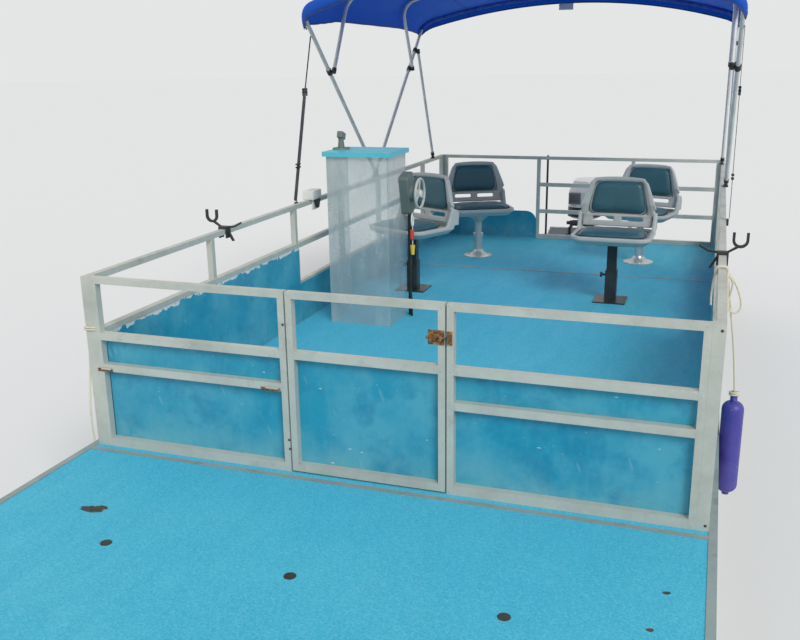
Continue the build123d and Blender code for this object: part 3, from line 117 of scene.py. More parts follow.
class BoatColours(bpy.types.PropertyGroup):
    """Main colours of the boat."""

    deck: colour_setting("Deck coating", "Colour of the deck's coating", 60, 178, 210)
    sheet: colour_setting("Fence sheets", "Paint on the fence sheets", 36, 148, 178)
    low_sheet: colour_setting("Low sheets", "Paint on the low aft sheets", 4, 142, 172)
    canvas: colour_setting("Canvas", "Colour of the canvas top", 4, 86, 198)
    pad: colour_setting("Pads", "Vinyl of the seat pads", 40, 88, 100)
    shell: colour_setting("Seat shells", "Plastic of the seat shells", 178, 184, 182)


class BoatSizes(bpy.types.PropertyGroup):
    """Sizes that a user may want to change."""

    canvas_sag: length_setting("Canvas sag", "Dip of the canvas between two bows", 0.022, 0, 0.1)
    pad_crown: length_setting("Pad crown", "Rise of a pad's middle over its edge", 0.014, 0, 0.05)
    shell_voxel: length_setting("Shell detail", "Mesh size of the moulded seat shells", 0.004, 0.002, 0.02)
    rope: length_setting("Rope diameter", "Diameter of the ropes", 0.008, 0.002, 0.03)
    strands: IntProperty(name="Rope wraps", description="Turns of the rope round the rail", default=3,
                         min=1, max=8)


def new_group(name, inputs, *outputs):
    """An empty group of shader nodes; returns its tree, what it is given and what it returns.

    An input without a default is a vector, and every other socket is a number.
    """
    tree = bpy.data.node_groups.new(name, "ShaderNodeTree")
    for label, value in inputs.items():
        kind = "NodeSocketVector" if value is None else "NodeSocketFloat"
        socket = tree.interface.new_socket(name=label, in_out="INPUT", socket_type=kind)
        if value is not None:
            socket.default_value = value
    for label in outputs:
        tree.interface.new_socket(name=label, in_out="OUTPUT", socket_type="NodeSocketFloat")
    return tree, tree.nodes.new("NodeGroupInput").outputs, tree.nodes.new("NodeGroupOutput").inputs


def add_node(tree, kind, inputs=None, **settings):
    """A node with its properties set; each input is a value or the socket that feeds it."""
    made = tree.nodes.new(kind)
    for key, value in settings.items():
        setattr(made, key, value)
    for key, value in (inputs or {}).items():
        if isinstance(value, bpy.types.NodeSocket):
            tree.links.new(value, made.inputs[key])
        else:
            made.inputs[key].default_value = value
    return made


def math_node(tree, operation, *values, clamp=False):
    """The result of a Math node; each value is a number or the socket that feeds it."""
    inputs = dict(enumerate(values))
    return add_node(tree, "ShaderNodeMath", inputs, operation=operation, use_clamp=clamp).outputs[0]


def ramp_between(tree, value, low, high):
    """0 below low, 1 above high and straight between them."""
    ends = {"Value": value, "From Min": low, "From Max": high}
    return add_node(tree, "ShaderNodeMapRange", ends, clamp=True).outputs[0]


def make_patch_group():
    """Soft patches, such as wear, dirt or faded paint."""
    tree, given, out = new_group("Patches", {"Vector": None, "Scale": 4.0, "Start": 0.5, "End": 0.7}, "Mask")
    noise = add_node(tree, "ShaderNodeTexNoise", {"Vector": given["Vector"], "Scale": given["Scale"],
                                                  "Detail": 8.0, "Roughness": 0.65})
    tree.links.new(ramp_between(tree, noise.outputs["Fac"], given["Start"], given["End"]), out["Mask"])


def make_fleck_group():
    """Small flecks, one in a cell and only in some cells; stretched coordinates make strokes of them."""
    inputs = {"Vector": None, "Scale": 40.0, "Width": 0.15, "Cover": 0.6}
    tree, given, out = new_group("Flecks", inputs, "Mask")
    warp = add_node(tree, "ShaderNodeTexNoise", {"Vector": given["Vector"], "Scale": 6.0, "Detail": 3.0})
    terms = {0: warp.outputs["Color"], 1: (0.06, 0.06, 0.06), 2: given["Vector"]}
    shift = add_node(tree, "ShaderNodeVectorMath", terms, operation="MULTIPLY_ADD")
    cells = add_node(tree, "ShaderNodeTexVoronoi", {"Vector": shift.outputs[0], "Scale": given["Scale"]})
    inner = math_node(tree, "MULTIPLY", given["Width"], 0.5)
    beyond = ramp_between(tree, cells.outputs["Distance"], inner, given["Width"])
    dot = math_node(tree, "SUBTRACT", 1.0, beyond)
    lot = add_node(tree, "ShaderNodeSeparateColor", {0: cells.outputs["Color"]})
    kept = math_node(tree, "GREATER_THAN", lot.outputs[0], given["Cover"])
    tree.links.new(math_node(tree, "MULTIPLY", dot, kept), out["Mask"])


def make_grit_group():
    """Fine grit in a coating, as a mask and a height."""
    tree, given, out = new_group("Grit", {"Vector": None, "Scale": 300.0, "Share": 0.5}, "Mask", "Height")
    noise = add_node(tree, "ShaderNodeTexNoise", {"Vector": given["Vector"], "Scale": given["Scale"],
                                                  "Detail": 2.0, "Roughness": 0.7})
    top = math_node(tree, "ADD", given["Share"], 0.14)
    tree.links.new(ramp_between(tree, noise.outputs["Fac"], given["Share"], top), out["Mask"])
    tree.links.new(noise.outputs["Fac"], out["Height"])


def make_weave_group():
    """Plain weave: two crossed sets of threads, as a height."""
    tree, given, out = new_group("Plain weave", {"Vector": None, "Threads": 400.0}, "Height")
    parts = add_node(tree, "ShaderNodeSeparateXYZ", {0: given["Vector"]})
    waves = []
    for axis in ("X", "Y"):
        turns = math_node(tree, "MULTIPLY", parts.outputs[axis], given["Threads"])
        wave = math_node(tree, "SINE", math_node(tree, "MULTIPLY", turns, 2 * pi))
        waves.append(math_node(tree, "MULTIPLY_ADD", wave, 0.5))
    tree.links.new(math_node(tree, "MAXIMUM", *waves), out["Height"])


def make_pebble_group():
    """Pebbled grain of vinyl or moulded plastic, as a height."""
    tree, given, out = new_group("Pebble grain", {"Vector": None, "Scale": 500.0}, "Height")
    cells = add_node(tree, "ShaderNodeTexVoronoi", {"Vector": given["Vector"], "Scale": given["Scale"]},
                     feature="SMOOTH_F1")
    cells.inputs["Smoothness"].default_value = 0.6
    tree.links.new(math_node(tree, "SUBTRACT", 1.0, cells.outputs["Distance"]), out["Height"])


class Finish:
    """A material being wired: its tree, its shader, its coordinates and the colour mixed so far."""

    def __init__(self, name, colour, roughness, metallic=0.0, coordinates="Object", **sockets):
        self.material = bpy.data.materials.new(name)
        self.material.use_nodes = True
        self.tree = self.material.node_tree
        self.shader = self.tree.nodes["Principled BSDF"]
        sockets.update(Base_Color=colour, Roughness=roughness, Metallic=metallic)
        for label, value in sockets.items():
            self.shader.inputs[label.replace("_", " ")].default_value = value
        self.shade = colour
        self.place = add_node(self.tree, "ShaderNodeTexCoord").outputs[coordinates]

    def moved(self, kind="POINT", **moves):
        """The coordinates after a Mapping node with the given Location, Rotation or Scale."""
        moves["Vector"] = self.place
        return add_node(self.tree, "ShaderNodeMapping", moves, vector_type=kind).outputs[0]

    def effect(self, name, vector=None, output=0, **values):
        """A shared group placed in this material."""
        values["Vector"] = vector or self.place
        shared = bpy.data.node_groups[name]
        return add_node(self.tree, "ShaderNodeGroup", values, node_tree=shared).outputs[output]

    def patches(self, scale, start, end, **moves):
        """A mask of soft patches, on coordinates that can be moved, turned or stretched."""
        vector = self.moved(**moves) if moves else None
        return self.effect("Patches", vector, Scale=scale, Start=start, End=end)

    def strokes(self, scale, width, cover, length=9.0, turn=(0.5, 0.7, 0.6)):
        """A mask of short scratches: flecks on coordinates that are stretched along a slanting line."""
        vector = self.moved("TEXTURE", Rotation=turn, Scale=(length, 1, 1))
        return self.effect("Flecks", vector, Scale=scale, Width=width, Cover=cover)

    def part(self, axis):
        """One coordinate as a number."""
        return add_node(self.tree, "ShaderNodeSeparateXYZ", {0: self.place}).outputs[axis]

    def sums(self, operation, *values, clamp=False):
        """A Math node in this material."""
        return math_node(self.tree, operation, *values, clamp=clamp)

    def product(self, first, second):
        """One value times another."""
        return self.sums("MULTIPLY", first, second)

    def rest(self, mask):
        """One less the mask."""
        return self.sums("SUBTRACT", 1.0, mask)

    def between(self, value, low, high):
        """0 below low, 1 above high."""
        return ramp_between(self.tree, value, low, high)

    def level(self, mask, low, high):
        """A number between two, by a mask."""
        ends = {"Value": mask, "To Min": low, "To Max": high}
        return add_node(self.tree, "ShaderNodeMapRange", ends).outputs[0]

    def mix(self, mask, under, over):
        """A colour between two, by a mask."""
        inputs = {0: mask, 6: under, 7: over}
        return add_node(self.tree, "ShaderNodeMix", inputs, data_type="RGBA").outputs[2]

    def cover(self, mask, colour, share=None):
        """Mix a colour over the one so far, by a mask or by a share of it."""
        self.shade = self.mix(mask if share is None else self.product(mask, share), self.shade, colour)

    def paint(self, roughness=None, alpha=None):
        """Wire the mixed colour into the shader, with what else is given."""
        for label, value in (("Base Color", self.shade), ("Roughness", roughness), ("Alpha", alpha)):
            if value is not None:
                self.tree.links.new(value, self.shader.inputs[label])

    def bump(self, height, distance, strength=1.0):
        """A Bump node; a second call stacks on the first."""
        inputs = {"Height": height, "Distance": distance, "Strength": strength}
        made = add_node(self.tree, "ShaderNodeBump", inputs)
        normal = self.shader.inputs["Normal"]
        if normal.is_linked:
            self.tree.links.new(normal.links[0].from_socket, made.inputs["Normal"])
        self.tree.links.new(made.outputs[0], normal)


def aluminium(name, colour, roughness, grime, metallic):
    """Mill aluminium with dull patches, fine handling scratches and dark grime."""
    finish = Finish(name, colour, roughness, metallic)
    dull = finish.patches(5.0, 0.42, 0.66)
    scratch = finish.strokes(60.0, 0.12, 0.5)
    finish.cover(dull, shaded(colour, 0.82))
    finish.cover(scratch, shaded(colour, 1.2), 0.6)
    finish.cover(finish.patches(9.0, 0.58, 0.78, Location=(3.1, 1.7, 0.4)), linear(98, 96, 88), grime)
    finish.paint(finish.level(dull, roughness, min(1, roughness + 0.22)))
    finish.bump(scratch, 0.0002, 0.4)
    finish.bump(finish.patches(180.0, 0.3, 0.7), 0.0002, 0.25)
    return finish.material


def plastic(name, colour, roughness, scuff=0.25, grain=0.0002):
    """Moulded plastic with faint pebble grain and pale scuffs."""
    finish = Finish(name, colour, roughness)
    fade = finish.patches(7.0, 0.4, 0.75)
    finish.cover(fade, shaded(colour, 0.75, 0.25), 0.18)
    finish.cover(finish.strokes(50.0, 0.14, 0.7), shaded(colour, 0.75, 0.25), scuff)
    finish.paint(finish.level(fade, roughness, min(1, roughness + 0.15)))
    finish.bump(finish.effect("Pebble grain", Scale=600.0), grain, 0.5)
    return finish.material


def painted(name, colour, roughness, chips, under=linear(150, 152, 154)):
    """Paint over metal, with chips down to the metal and a faint orange peel."""
    finish = Finish(name, colour, roughness, Coat_Weight=0.15)
    fade = finish.patches(6.0, 0.4, 0.7)
    chip = finish.patches(38.0, 0.74 - chips, 0.76 - chips, Location=(0.3, 2.2, 1.1))
    finish.cover(fade, shaded(colour, 0.8, 0.12), 0.25)
    finish.cover(chip, under)
    finish.paint(finish.level(fade, roughness, roughness + 0.15))
    finish.bump(finish.patches(240.0, 0.2, 0.8), 0.0002, 0.2)
    finish.bump(finish.rest(chip), 0.0002, 0.5)
    return finish.material


def cowl_paint():
    """The motor cowl: pale grey paint over a black lower tray, with a dark joint between them."""
    finish = Finish("cowl paint", linear(212, 214, 214), 0.3, Coat_Weight=0.2)
    tray = finish.rest(finish.between(finish.part("Z"), 0.938, 0.942))
    finish.cover(finish.patches(6.0, 0.4, 0.7), linear(186, 188, 190), 0.25)
    finish.cover(tray, linear(34, 35, 38))
    finish.paint(finish.level(tray, 0.3, 0.5))
    finish.bump(finish.patches(240.0, 0.2, 0.8), 0.0002, 0.2)
    finish.bump(finish.rest(tray), 0.002, 0.6)
    return finish.material


def fence_paint(name, colour, chipped):
    """Teal paint on thin sheet: haze, dark smudges, pale flecks and scuffs, and flaking along a top edge."""
    finish = Finish(name, colour, 0.45, Coat_Weight=0.08)
    height = finish.part("Z")
    haze = finish.patches(3.4, 0.42, 0.60)
    low = finish.rest(finish.between(height, deck_z + 0.06, deck_z + 0.20))
    low = finish.product(low, finish.patches(10.0, 0.34, 0.66))
    finish.cover(haze, linear(98, 176, 194), 0.50)
    finish.cover(finish.patches(6.0, 0.50, 0.62, Location=(1.7, 0.4, 2.9)), linear(10, 118, 158), 0.45)
    finish.cover(finish.patches(22.0, 0.50, 0.80, Scale=(1, 1, 0.22)), linear(104, 182, 196), 0.22)
    finish.cover(low, linear(124, 178, 184), 0.42)
    finish.cover(finish.strokes(24.0, 0.17, 0.62, 5.0, (0.9, 1.2, 0.3)), linear(170, 212, 220), 0.16)
    finish.cover(finish.strokes(46.0, 0.10, 0.80, 12.0, (0.2, 0.5, 0.8)), linear(186, 220, 226), 0.42)
    finish.cover(finish.strokes(60.0, 0.16, 0.93, 3.0, (0, 0, 0)), linear(214, 230, 230), 0.7)
    if chipped:
        edge = finish.between(height, deck_z + 0.418, deck_z + 0.456)
        flake = finish.patches(13.0, 0.34, 0.62, Scale=(1, 1, 1.6))
        side = finish.between(finish.sums("ABSOLUTE", finish.part("X")), 1.12, 1.13)
        torn = finish.between(finish.product(finish.product(edge, flake), side), 0.34, 0.4)
        finish.cover(torn, linear(222, 226, 224))
        finish.bump(finish.rest(torn), 0.0004, 0.6)
    finish.paint(finish.level(haze, 0.40, 0.60))
    finish.bump(finish.patches(30.0, 0.2, 0.9), 0.0015, 0.25)
    return finish.material


def deck_coating(colour):
    """Rolled deck coating: grit, brushed-out patches and torn bare spots near the bow."""
    finish = Finish("deck coating", colour, 0.75, Specular_IOR_Level=0.35)
    roller = finish.patches(14.0, 0.38, 0.74, Scale=(1, 0.25, 1))
    shifted = finish.moved(Location=(2.0, 0.6, 0))
    finish.cover(finish.patches(1.6, 0.32, 0.72), linear(88, 190, 214), 0.45)
    finish.cover(roller, linear(42, 150, 188), 0.25)
    finish.cover(finish.effect("Grit", Scale=170.0, Share=0.47), linear(118, 206, 224), 0.45)
    finish.cover(finish.effect("Grit", shifted, Scale=120.0, Share=0.56), linear(30, 130, 168), 0.5)
    spots = (
        # x, y, half width, half depth
        (-0.847, fence_y - 0.481, 0.062, 0.030),
        (-0.822, fence_y - 0.462, 0.036, 0.020),
        (1.072, fence_y - 0.401, 0.016, 0.012),
        (1.039, fence_y - 0.597, 0.014, 0.012),
    )
    bare = None
    ragged = finish.product(finish.patches(60.0, 0.2, 0.8), 0.9)
    for x, y, wide, deep in spots:
        across = finish.sums("DIVIDE", finish.sums("SUBTRACT", finish.part("X"), x), wide)
        along = finish.sums("DIVIDE", finish.sums("SUBTRACT", finish.part("Y"), y), deep)
        away = finish.sums("ADD", finish.product(across, across), finish.product(along, along))
        inside = finish.rest(finish.between(finish.sums("ADD", away, ragged), 0.9, 1.05))
        bare = inside if bare is None else finish.sums("MAXIMUM", bare, inside)
    finish.cover(bare, finish.mix(finish.patches(70.0, 0.35, 0.6), linear(92, 78, 58), linear(46, 60, 62)))
    finish.paint(finish.level(roller, 0.62, 0.85))
    finish.bump(finish.effect("Grit", output=1, Scale=150.0), 0.0012, 0.7)
    finish.bump(finish.rest(bare), 0.001, 0.8)
    return finish.material


def canvas_cloth(colour):
    """Woven canvas with sun fading, stitched seams that follow the cloth's own map, and a faint painted glow
    in its own colour.
    """
    # Emission Strength 0.18 makes the canvas glow faintly: painted light, not a lamp.
    finish = Finish("blue canvas", colour, 0.85, coordinates="UV", Emission_Strength=0.18)
    thread = finish.effect("Plain weave", Threads=420.0)
    finish.cover(finish.patches(3.0, 0.35, 0.75), linear(24, 96, 208), 0.3)
    finish.shade = finish.mix(finish.product(thread, 0.25), shaded(colour, 0.72), finish.shade)
    seam = None
    for place in (-0.78, 0.78):
        near = finish.sums("ABSOLUTE", finish.sums("SUBTRACT", finish.part("X"), place))
        line = finish.rest(finish.between(near, 0.006, 0.010))
        seam = line if seam is None else finish.sums("MAXIMUM", seam, line)
    finish.cover(seam, linear(16, 48, 120), 0.5)
    finish.paint()
    # The canvas's own colour feeds its emission, a painted glow.
    finish.tree.links.new(finish.shade, finish.shader.inputs["Emission Color"])
    finish.bump(thread, 0.0006, 0.5)
    finish.bump(seam, 0.002, 0.6)
    return finish.material


def woven(name, colour, threads):
    """Close-woven webbing, cloth or rope cover."""
    finish = Finish(name, colour, 0.9, Sheen_Weight=0.2)
    thread = finish.effect("Plain weave", Threads=threads)
    finish.shade = finish.mix(thread, shaded(colour, 0.55), colour)
    finish.cover(finish.patches(20.0, 0.4, 0.7), shaded(colour, 0.7, 0.2), 0.35)
    finish.paint()
    finish.bump(thread, 0.0004, 0.7)
    return finish.material


def vinyl(name, colour):
    """Marine vinyl: pebble grain, soft creases and slight fading."""
    finish = Finish(name, colour, 0.48, Coat_Weight=0.08, Sheen_Weight=0.1)
    fade = finish.patches(9.0, 0.36, 0.7)
    finish.cover(fade, linear(54, 106, 116), 0.4)
    finish.cover(finish.strokes(40.0, 0.10, 0.86), linear(140, 160, 170), 0.3)
    finish.paint(finish.level(fade, 0.42, 0.6))
    finish.bump(finish.effect("Pebble grain", Scale=420.0), 0.0004, 0.6)
    finish.bump(finish.patches(26.0, 0.2, 0.9), 0.002, 0.3)
    return finish.material


def acrylic():
    """Clear acrylic gone hazy: a milky film, thicker near the top, with rubs and fine strokes."""
    finish = Finish("scuffed acrylic", linear(190, 202, 200), 0.25, Specular_IOR_Level=0.5)
    film = finish.patches(2.4, 0.35, 0.75)
    rubs = finish.patches(12.0, 0.48, 0.80, Scale=(1, 1, 0.3))
    high = finish.between(finish.part("Z"), deck_z + 0.30, deck_z + 0.95)
    haze = finish.sums("ADD", finish.level(film, 0.20, 0.36), finish.product(high, 0.26))
    haze = finish.sums("ADD", haze, finish.product(rubs, 0.12))
    haze = finish.sums("ADD", haze, finish.product(finish.strokes(34.0, 0.12, 0.72), 0.2), clamp=True)
    finish.shade = finish.mix(rubs, linear(184, 196, 196), linear(214, 222, 220))
    finish.paint(finish.level(film, 0.16, 0.4), haze)
    return finish.material


def rusty_brass():
    """Latch metal: dull brass under brown rust."""
    finish = Finish("rusty latch", linear(150, 116, 74), 0.5, 0.6)
    rust = finish.patches(70.0, 0.38, 0.6)
    finish.shade = finish.mix(rust, linear(168, 138, 96), linear(104, 58, 34))
    finish.paint(finish.level(rust, 0.4, 0.85))
    finish.bump(finish.effect("Grit", output=1, Scale=900.0), 0.0003, 0.6)
    return finish.material


def make_finishes(colours):
    """Every finish, by the record's material slot."""
    make_patch_group()
    make_fleck_group()
    make_grit_group()
    make_weave_group()
    make_pebble_group()
    return {
        "tube_aluminium": aluminium("pontoon aluminium", linear(190, 193, 192), 0.42, 0.35, 0.6),
        "rail_aluminium": aluminium("fence aluminium", linear(198, 201, 192), 0.5, 0.4, 0.25),
        "deck_ply": plastic("deck ply edge", linear(120, 96, 68), 0.8),
        "deck_coating": deck_coating(tuple(colours.deck)),
        "deck_trim": aluminium("deck trim", linear(150, 166, 166), 0.55, 0.6, 0.25),
        "plug_rubber": plastic("deck plugs", linear(44, 44, 40), 0.8),
        "blue_sheet": fence_paint("fence paint", tuple(colours.sheet), True),
        "dark_sheet": fence_paint("low sheet paint", tuple(colours.low_sheet), False),
        "latch_brass": rusty_brass(),
        "bow_tube": aluminium("bow tube", linear(212, 214, 212), 0.38, 0.1, 0.2),
        "black_nylon": plastic("black nylon", linear(32, 32, 34), 0.55),
        "black_webbing": woven("black webbing", linear(30, 30, 34), 700.0),
        "blue_canvas": canvas_cloth(tuple(colours.canvas)),
        "acrylic": acrylic(),
        "console_paint": plastic("console board", linear(76, 190, 206), 0.4, 0.5),
        "control_plastic": plastic("control housing", linear(98, 112, 108), 0.5),
        "wheel_plastic": plastic("wheel plastic", linear(188, 190, 182), 0.4),
        "seat_shell": plastic("seat shell", tuple(colours.shell), 0.42, 0.5, 0.0003),
        "seat_vinyl": vinyl("seat vinyl", tuple(colours.pad)),
        "black_paint": painted("black post paint", linear(26, 28, 28), 0.3, 0.04),
        "spun_aluminium": aluminium("spun pedestal", linear(212, 214, 212), 0.25, 0.2, 0.6),
        "motor_paint": painted("motor paint", linear(206, 208, 208), 0.3, 0.02, linear(90, 90, 96)),
        "motor_black": painted("motor black", linear(40, 41, 44), 0.45, 0.05),
        "engine_iron": painted("engine grey", linear(80, 80, 82), 0.6, 0.05),
        "prop_aluminium": painted("propeller paint", linear(52, 53, 56), 0.35, 0.08),
        "fender_vinyl": plastic("fender vinyl", linear(62, 58, 150), 0.4, 0.5),
        "cream_rope": woven("cream rope", linear(230, 222, 198), 900.0),
        "cable_rubber": plastic("cable sheath", linear(26, 26, 28), 0.5),
        "signal_red": plastic("red float", linear(206, 60, 44), 0.6),
        "signal_yellow": plastic("yellow float", linear(226, 190, 60), 0.6),
        "signal_white": plastic("white float", linear(226, 226, 220), 0.5),
        # The piping's dark colour is painted shade of the thin gap between pad and shell.
        "gap_shade_piping": plastic("gap shade piping", linear(28, 50, 58), 0.6),
        "navy_binding": woven("navy binding", linear(12, 40, 110), 600.0),
        "bow_sleeve": woven("bow sleeve", linear(12, 72, 178), 420.0),
        "cowl_paint": cowl_paint(),
        "grey_panel": painted("cowl panel grey", linear(112, 114, 118), 0.4, 0.04),
        "pale_tab": woven("pale tab", linear(196, 206, 214), 500.0),
    }


finishes = {}


def placed(name, data):
    """A new object in the scene."""
    piece = bpy.data.objects.new(name, data)
    bpy.context.scene.collection.objects.link(piece)
    return piece


def as_mesh(name, form):
    """The form as a new mesh."""
    mesh = bpy.data.meshes.new(name)
    form.to_mesh(mesh)
    form.free()
    return mesh


def evaluated_mesh(piece):
    """A mesh of its own from the object as its modifiers leave it."""
    return bpy.data.meshes.new_from_object(piece.evaluated_get(bpy.context.evaluated_depsgraph_get()))


def smoothed(mesh, rounds):
    """The mesh after rounds of smoothing."""
    form = bmesh.new()
    form.from_mesh(mesh)
    for _ in range(rounds):
        bmesh.ops.smooth_vert(form, verts=form.verts, factor=0.5, use_axis_x=True, use_axis_y=True,
                              use_axis_z=True)
    form.to_mesh(mesh)
    form.free()
    return mesh


def turned_to(way):
    """The turn that brings +Z onto a direction."""
    return Vector((0, 0, 1)).rotation_difference(Vector(way)).to_matrix().to_4x4()


def keep_mesh(name, mesh, finish, body, crease=40.0):
    """Make the mesh a finished piece that rides on a body."""
    piece = placed(name, mesh)
    mesh.materials.clear()
    mesh.materials.append(finishes[finish])
    mesh.shade_smooth()
    mesh.set_sharp_from_angle(angle=radians(crease))
    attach(piece, body)
    return piece


def keep(name, form, finish, body, crease=40.0):
    """Make a bmesh a finished piece."""
    return keep_mesh(name, as_mesh(name, form), finish, body, crease)


def add_block(form, low, high, bevel=0.0, segments=2):
    """A bevelled block between two corners, added to the form."""
    low = Vector(low)
    high = Vector(high)
    made = bmesh.ops.create_cube(form, size=1.0)["verts"]
    bmesh.ops.scale(form, vec=high - low, verts=made)
    if bevel:
        edges = list({e for v in made for e in v.link_edges})
        bevelled = bmesh.ops.bevel(form, geom=edges, offset=bevel, segments=segments, affect="EDGES",
                                   profile=0.5, material=-1, offset_type="OFFSET")
        made = list({v for f in bevelled["faces"] for v in f.verts} | {v for v in made if v.is_valid})
        made = list({v for m in made for e in m.link_edges for v in e.verts})
    bmesh.ops.translate(form, vec=(low + high) / 2, verts=made)
    return made


def add_rod(form, start, end, radius, end_radius=None, segments=20):
    """A round bar or cone between two points, added to the form."""
    start = Vector(start)
    end = Vector(end)
    way = end - start
    bmesh.ops.create_cone(form, cap_ends=True, segments=segments, radius1=radius,
                          radius2=radius if end_radius is None else end_radius, depth=way.length,
                          matrix=Matrix.Translation((start + end) / 2) @ turned_to(way))


def add_dome(form, centre, radius, height, way):
    """A low domed rivet or screw head whose top points along way."""
    squash = Matrix.Diagonal((1, 1, height / radius, 1))
    bmesh.ops.create_uvsphere(form, u_segments=12, v_segments=6, radius=radius,
                              matrix=Matrix.Translation(centre) @ turned_to(way) @ squash)


def curve_object(name, points, radius, cyclic=False, kind="NURBS"):
    """A round curve through or along the points."""
    curve = bpy.data.curves.new(name, "CURVE")
    curve.dimensions = "3D"
    curve.bevel_depth = radius
    curve.bevel_resolution = 3
    curve.resolution_u = 6
    curve.use_fill_caps = True
    spline = curve.splines.new(kind)
    spline.points.add(len(points) - 1)
    for point, place in zip(spline.points, points):
        point.co = (*place, 1.0)
    if kind == "NURBS":
        spline.order_u = 3
        spline.use_endpoint_u = not cyclic
    spline.use_cyclic_u = cyclic
    return placed(name, curve)


def tube_mesh(name, points, radius, finish, body, cyclic=False, kind="NURBS", slot=None):
    """A held tube as a mesh piece."""
    held = curve_object(name + "_line", points, radius, cyclic=cyclic, kind=kind)
    bpy.context.view_layer.update()
    mesh = evaluated_mesh(held)
    bpy.data.objects.remove(held)
    mesh.name = name
    return keep_mesh(name, mesh, finish, body, 60.0)


def remeshed(mesh, voxel):
    """The mesh after a voxel remesh."""
    rough = placed(mesh.name + "_rough", mesh)
    remesh = rough.modifiers.new("Remesh", "REMESH")
    remesh.mode = "VOXEL"
    remesh.voxel_size = voxel
    bpy.context.view_layer.update()
    solid = evaluated_mesh(rough)
    bpy.data.objects.remove(rough)
    return solid


def moulded_copy(node, voxel, name, home, thicken=None):
    """One closed mesh made from a CAD solid: copied into a frame of its own, remeshed and smoothed."""
    form = bmesh.new()
    form.from_mesh(frame["nodes"][node].data)
    bmesh.ops.remove_doubles(form, verts=form.verts, dist=1e-5)
    bmesh.ops.transform(form, matrix=home.inverted(), verts=form.verts)
    if thicken:
        thicken(form)
    return smoothed(remeshed(as_mesh(name, form), voxel), 4)


def puffed(mesh, cap):
    """The mesh swelled by a short cloth simulation under pressure, no point moving further than the cap."""
    solid = remeshed(mesh, pad_voxel)
    soft = placed(mesh.name + "_soft", solid)
    cloth = soft.modifiers.new("Cloth", "CLOTH")
    cloth.settings.use_pressure = True
    cloth.settings.uniform_pressure_force = 4.0
    cloth.settings.effector_weights.gravity = 0.0
    for number in range(1, 21):
        bpy.context.scene.frame_set(number)
    swelled = evaluated_mesh(soft)
    for vert, start in zip(swelled.vertices, solid.vertices):
        step = vert.co - start.co
        if step.length > cap:
            vert.co = start.co + step * (cap / step.length)
    bpy.data.objects.remove(soft)
    bpy.context.scene.frame_set(1)
    return smoothed(swelled, 1)


def seat_place(index):
    """The matrix that carries a seat's own frame to its place on the deck."""
    _, x, y, z, heading = seats[index]
    return Matrix.Translation((x, y, z)) @ Matrix.Rotation(radians(heading), 4, "Z")


def back_place():
    """The matrix from the backrest's own plane (across, up, out of the front) to the seat's frame."""
    lean = back_recline
    across = Vector((1, 0, 0))
    up = Vector((0, sin(lean), cos(lean)))
    out = Vector((0, -cos(lean), sin(lean)))
    turn = Matrix((across, up, out)).transposed().to_4x4()
    return Matrix.Translation((0, hinge_aft, hinge_up)) @ turn


def seat_curve(spot):
    """The backrest's moulded form: narrower to the top, its top edge arched and its sides drawn forward."""
    u, v, n = spot
    rise = max(0.0, min(1.0, v / back_height))
    side = min(1.2, abs(u) / back_half)
    wrap = 0.042 * side**3 * min(1.0, 3.0 * rise) + 0.012 * rise**3
    return Vector((u * (1.0 - 0.17 * rise**1.3), v - 0.020 * side**2.5 * rise**2, n + wrap))


def thicken_back(form):
    """Fill the pad's pocket and give the backrest round side bolsters and a round top edge."""
    add_block(form, (-0.188, 0.026, -0.022), (0.188, 0.238, -0.004))
    for side in (-1, 1):
        add_rod(form, (side * 0.222, 0.012, -0.004), (side * 0.192, back_height - 0.024, -0.004), 0.019)
    add_rod(form, (-0.190, back_height - 0.014, -0.006), (0.190, back_height - 0.014, -0.006), 0.016)


def cad_material(node):
    """The record's slot of a CAD node."""
    for entry in frame["record"]["subparts"]:
        if entry["node"] == node:
            return entry["material_slot"]
    raise RuntimeError("no material slot for " + node)


class BOAT_OT_finishes(bpy.types.Operator):
    """Give every CAD node its finish."""

    bl_idname = "boat.finishes"
    bl_label = "Frame finishes"

    def execute(self, context):
        finishes.update(make_finishes(context.scene.boat_colours))
        for name, node in frame["nodes"].items():
            node.data.materials.clear()
            node.data.materials.append(finishes["cowl_paint" if name == "motor_cowl" else cad_material(name)])
        return {"FINISHED"}


def bow_shape(foot, apex, rise=0.16):
    """A canvas bow: its half width, foot, up direction, reach, crown radius and corner radius."""
    way = Vector((0, apex[0] - foot[0], apex[1] - foot[1]))
    up = way.normalized()
    tall = rise / up.z
    crown = (1.1**2 + tall**2) / (2 * tall)
    return {"half": fence_half, "foot": Vector((0, *foot)), "up": up, "reach": way.length, "crown": crown,
            "corner": 0.15}


def bow_point(bow, share, skirt, out):
    """A point of the canvas over a bow. share is 0 at the ridge and 1 at the skirt's lower edge."""
    crown = bow["crown"] + out
    corner = bow["corner"] + out
    edge = bow["half"] + out
    centre_v = bow["reach"] - bow["crown"]
    corner_u = edge - corner
    corner_v = centre_v + sqrt((crown - corner) ** 2 - corner_u**2)
    lean = atan2(corner_u, corner_v - centre_v)
    if share < 0.76:
        angle = lean * share / 0.76
        u, v = crown * sin(angle), centre_v + crown * cos(angle)
    elif share < 0.92:
        angle = lean + (pi / 2 - lean) * (share - 0.76) / 0.16
        u, v = corner_u + corner * sin(angle), corner_v + corner * cos(angle)
    else:
        u, v = edge, corner_v - skirt * (share - 0.92) / 0.08
    return u, bow["foot"] + bow["up"] * v


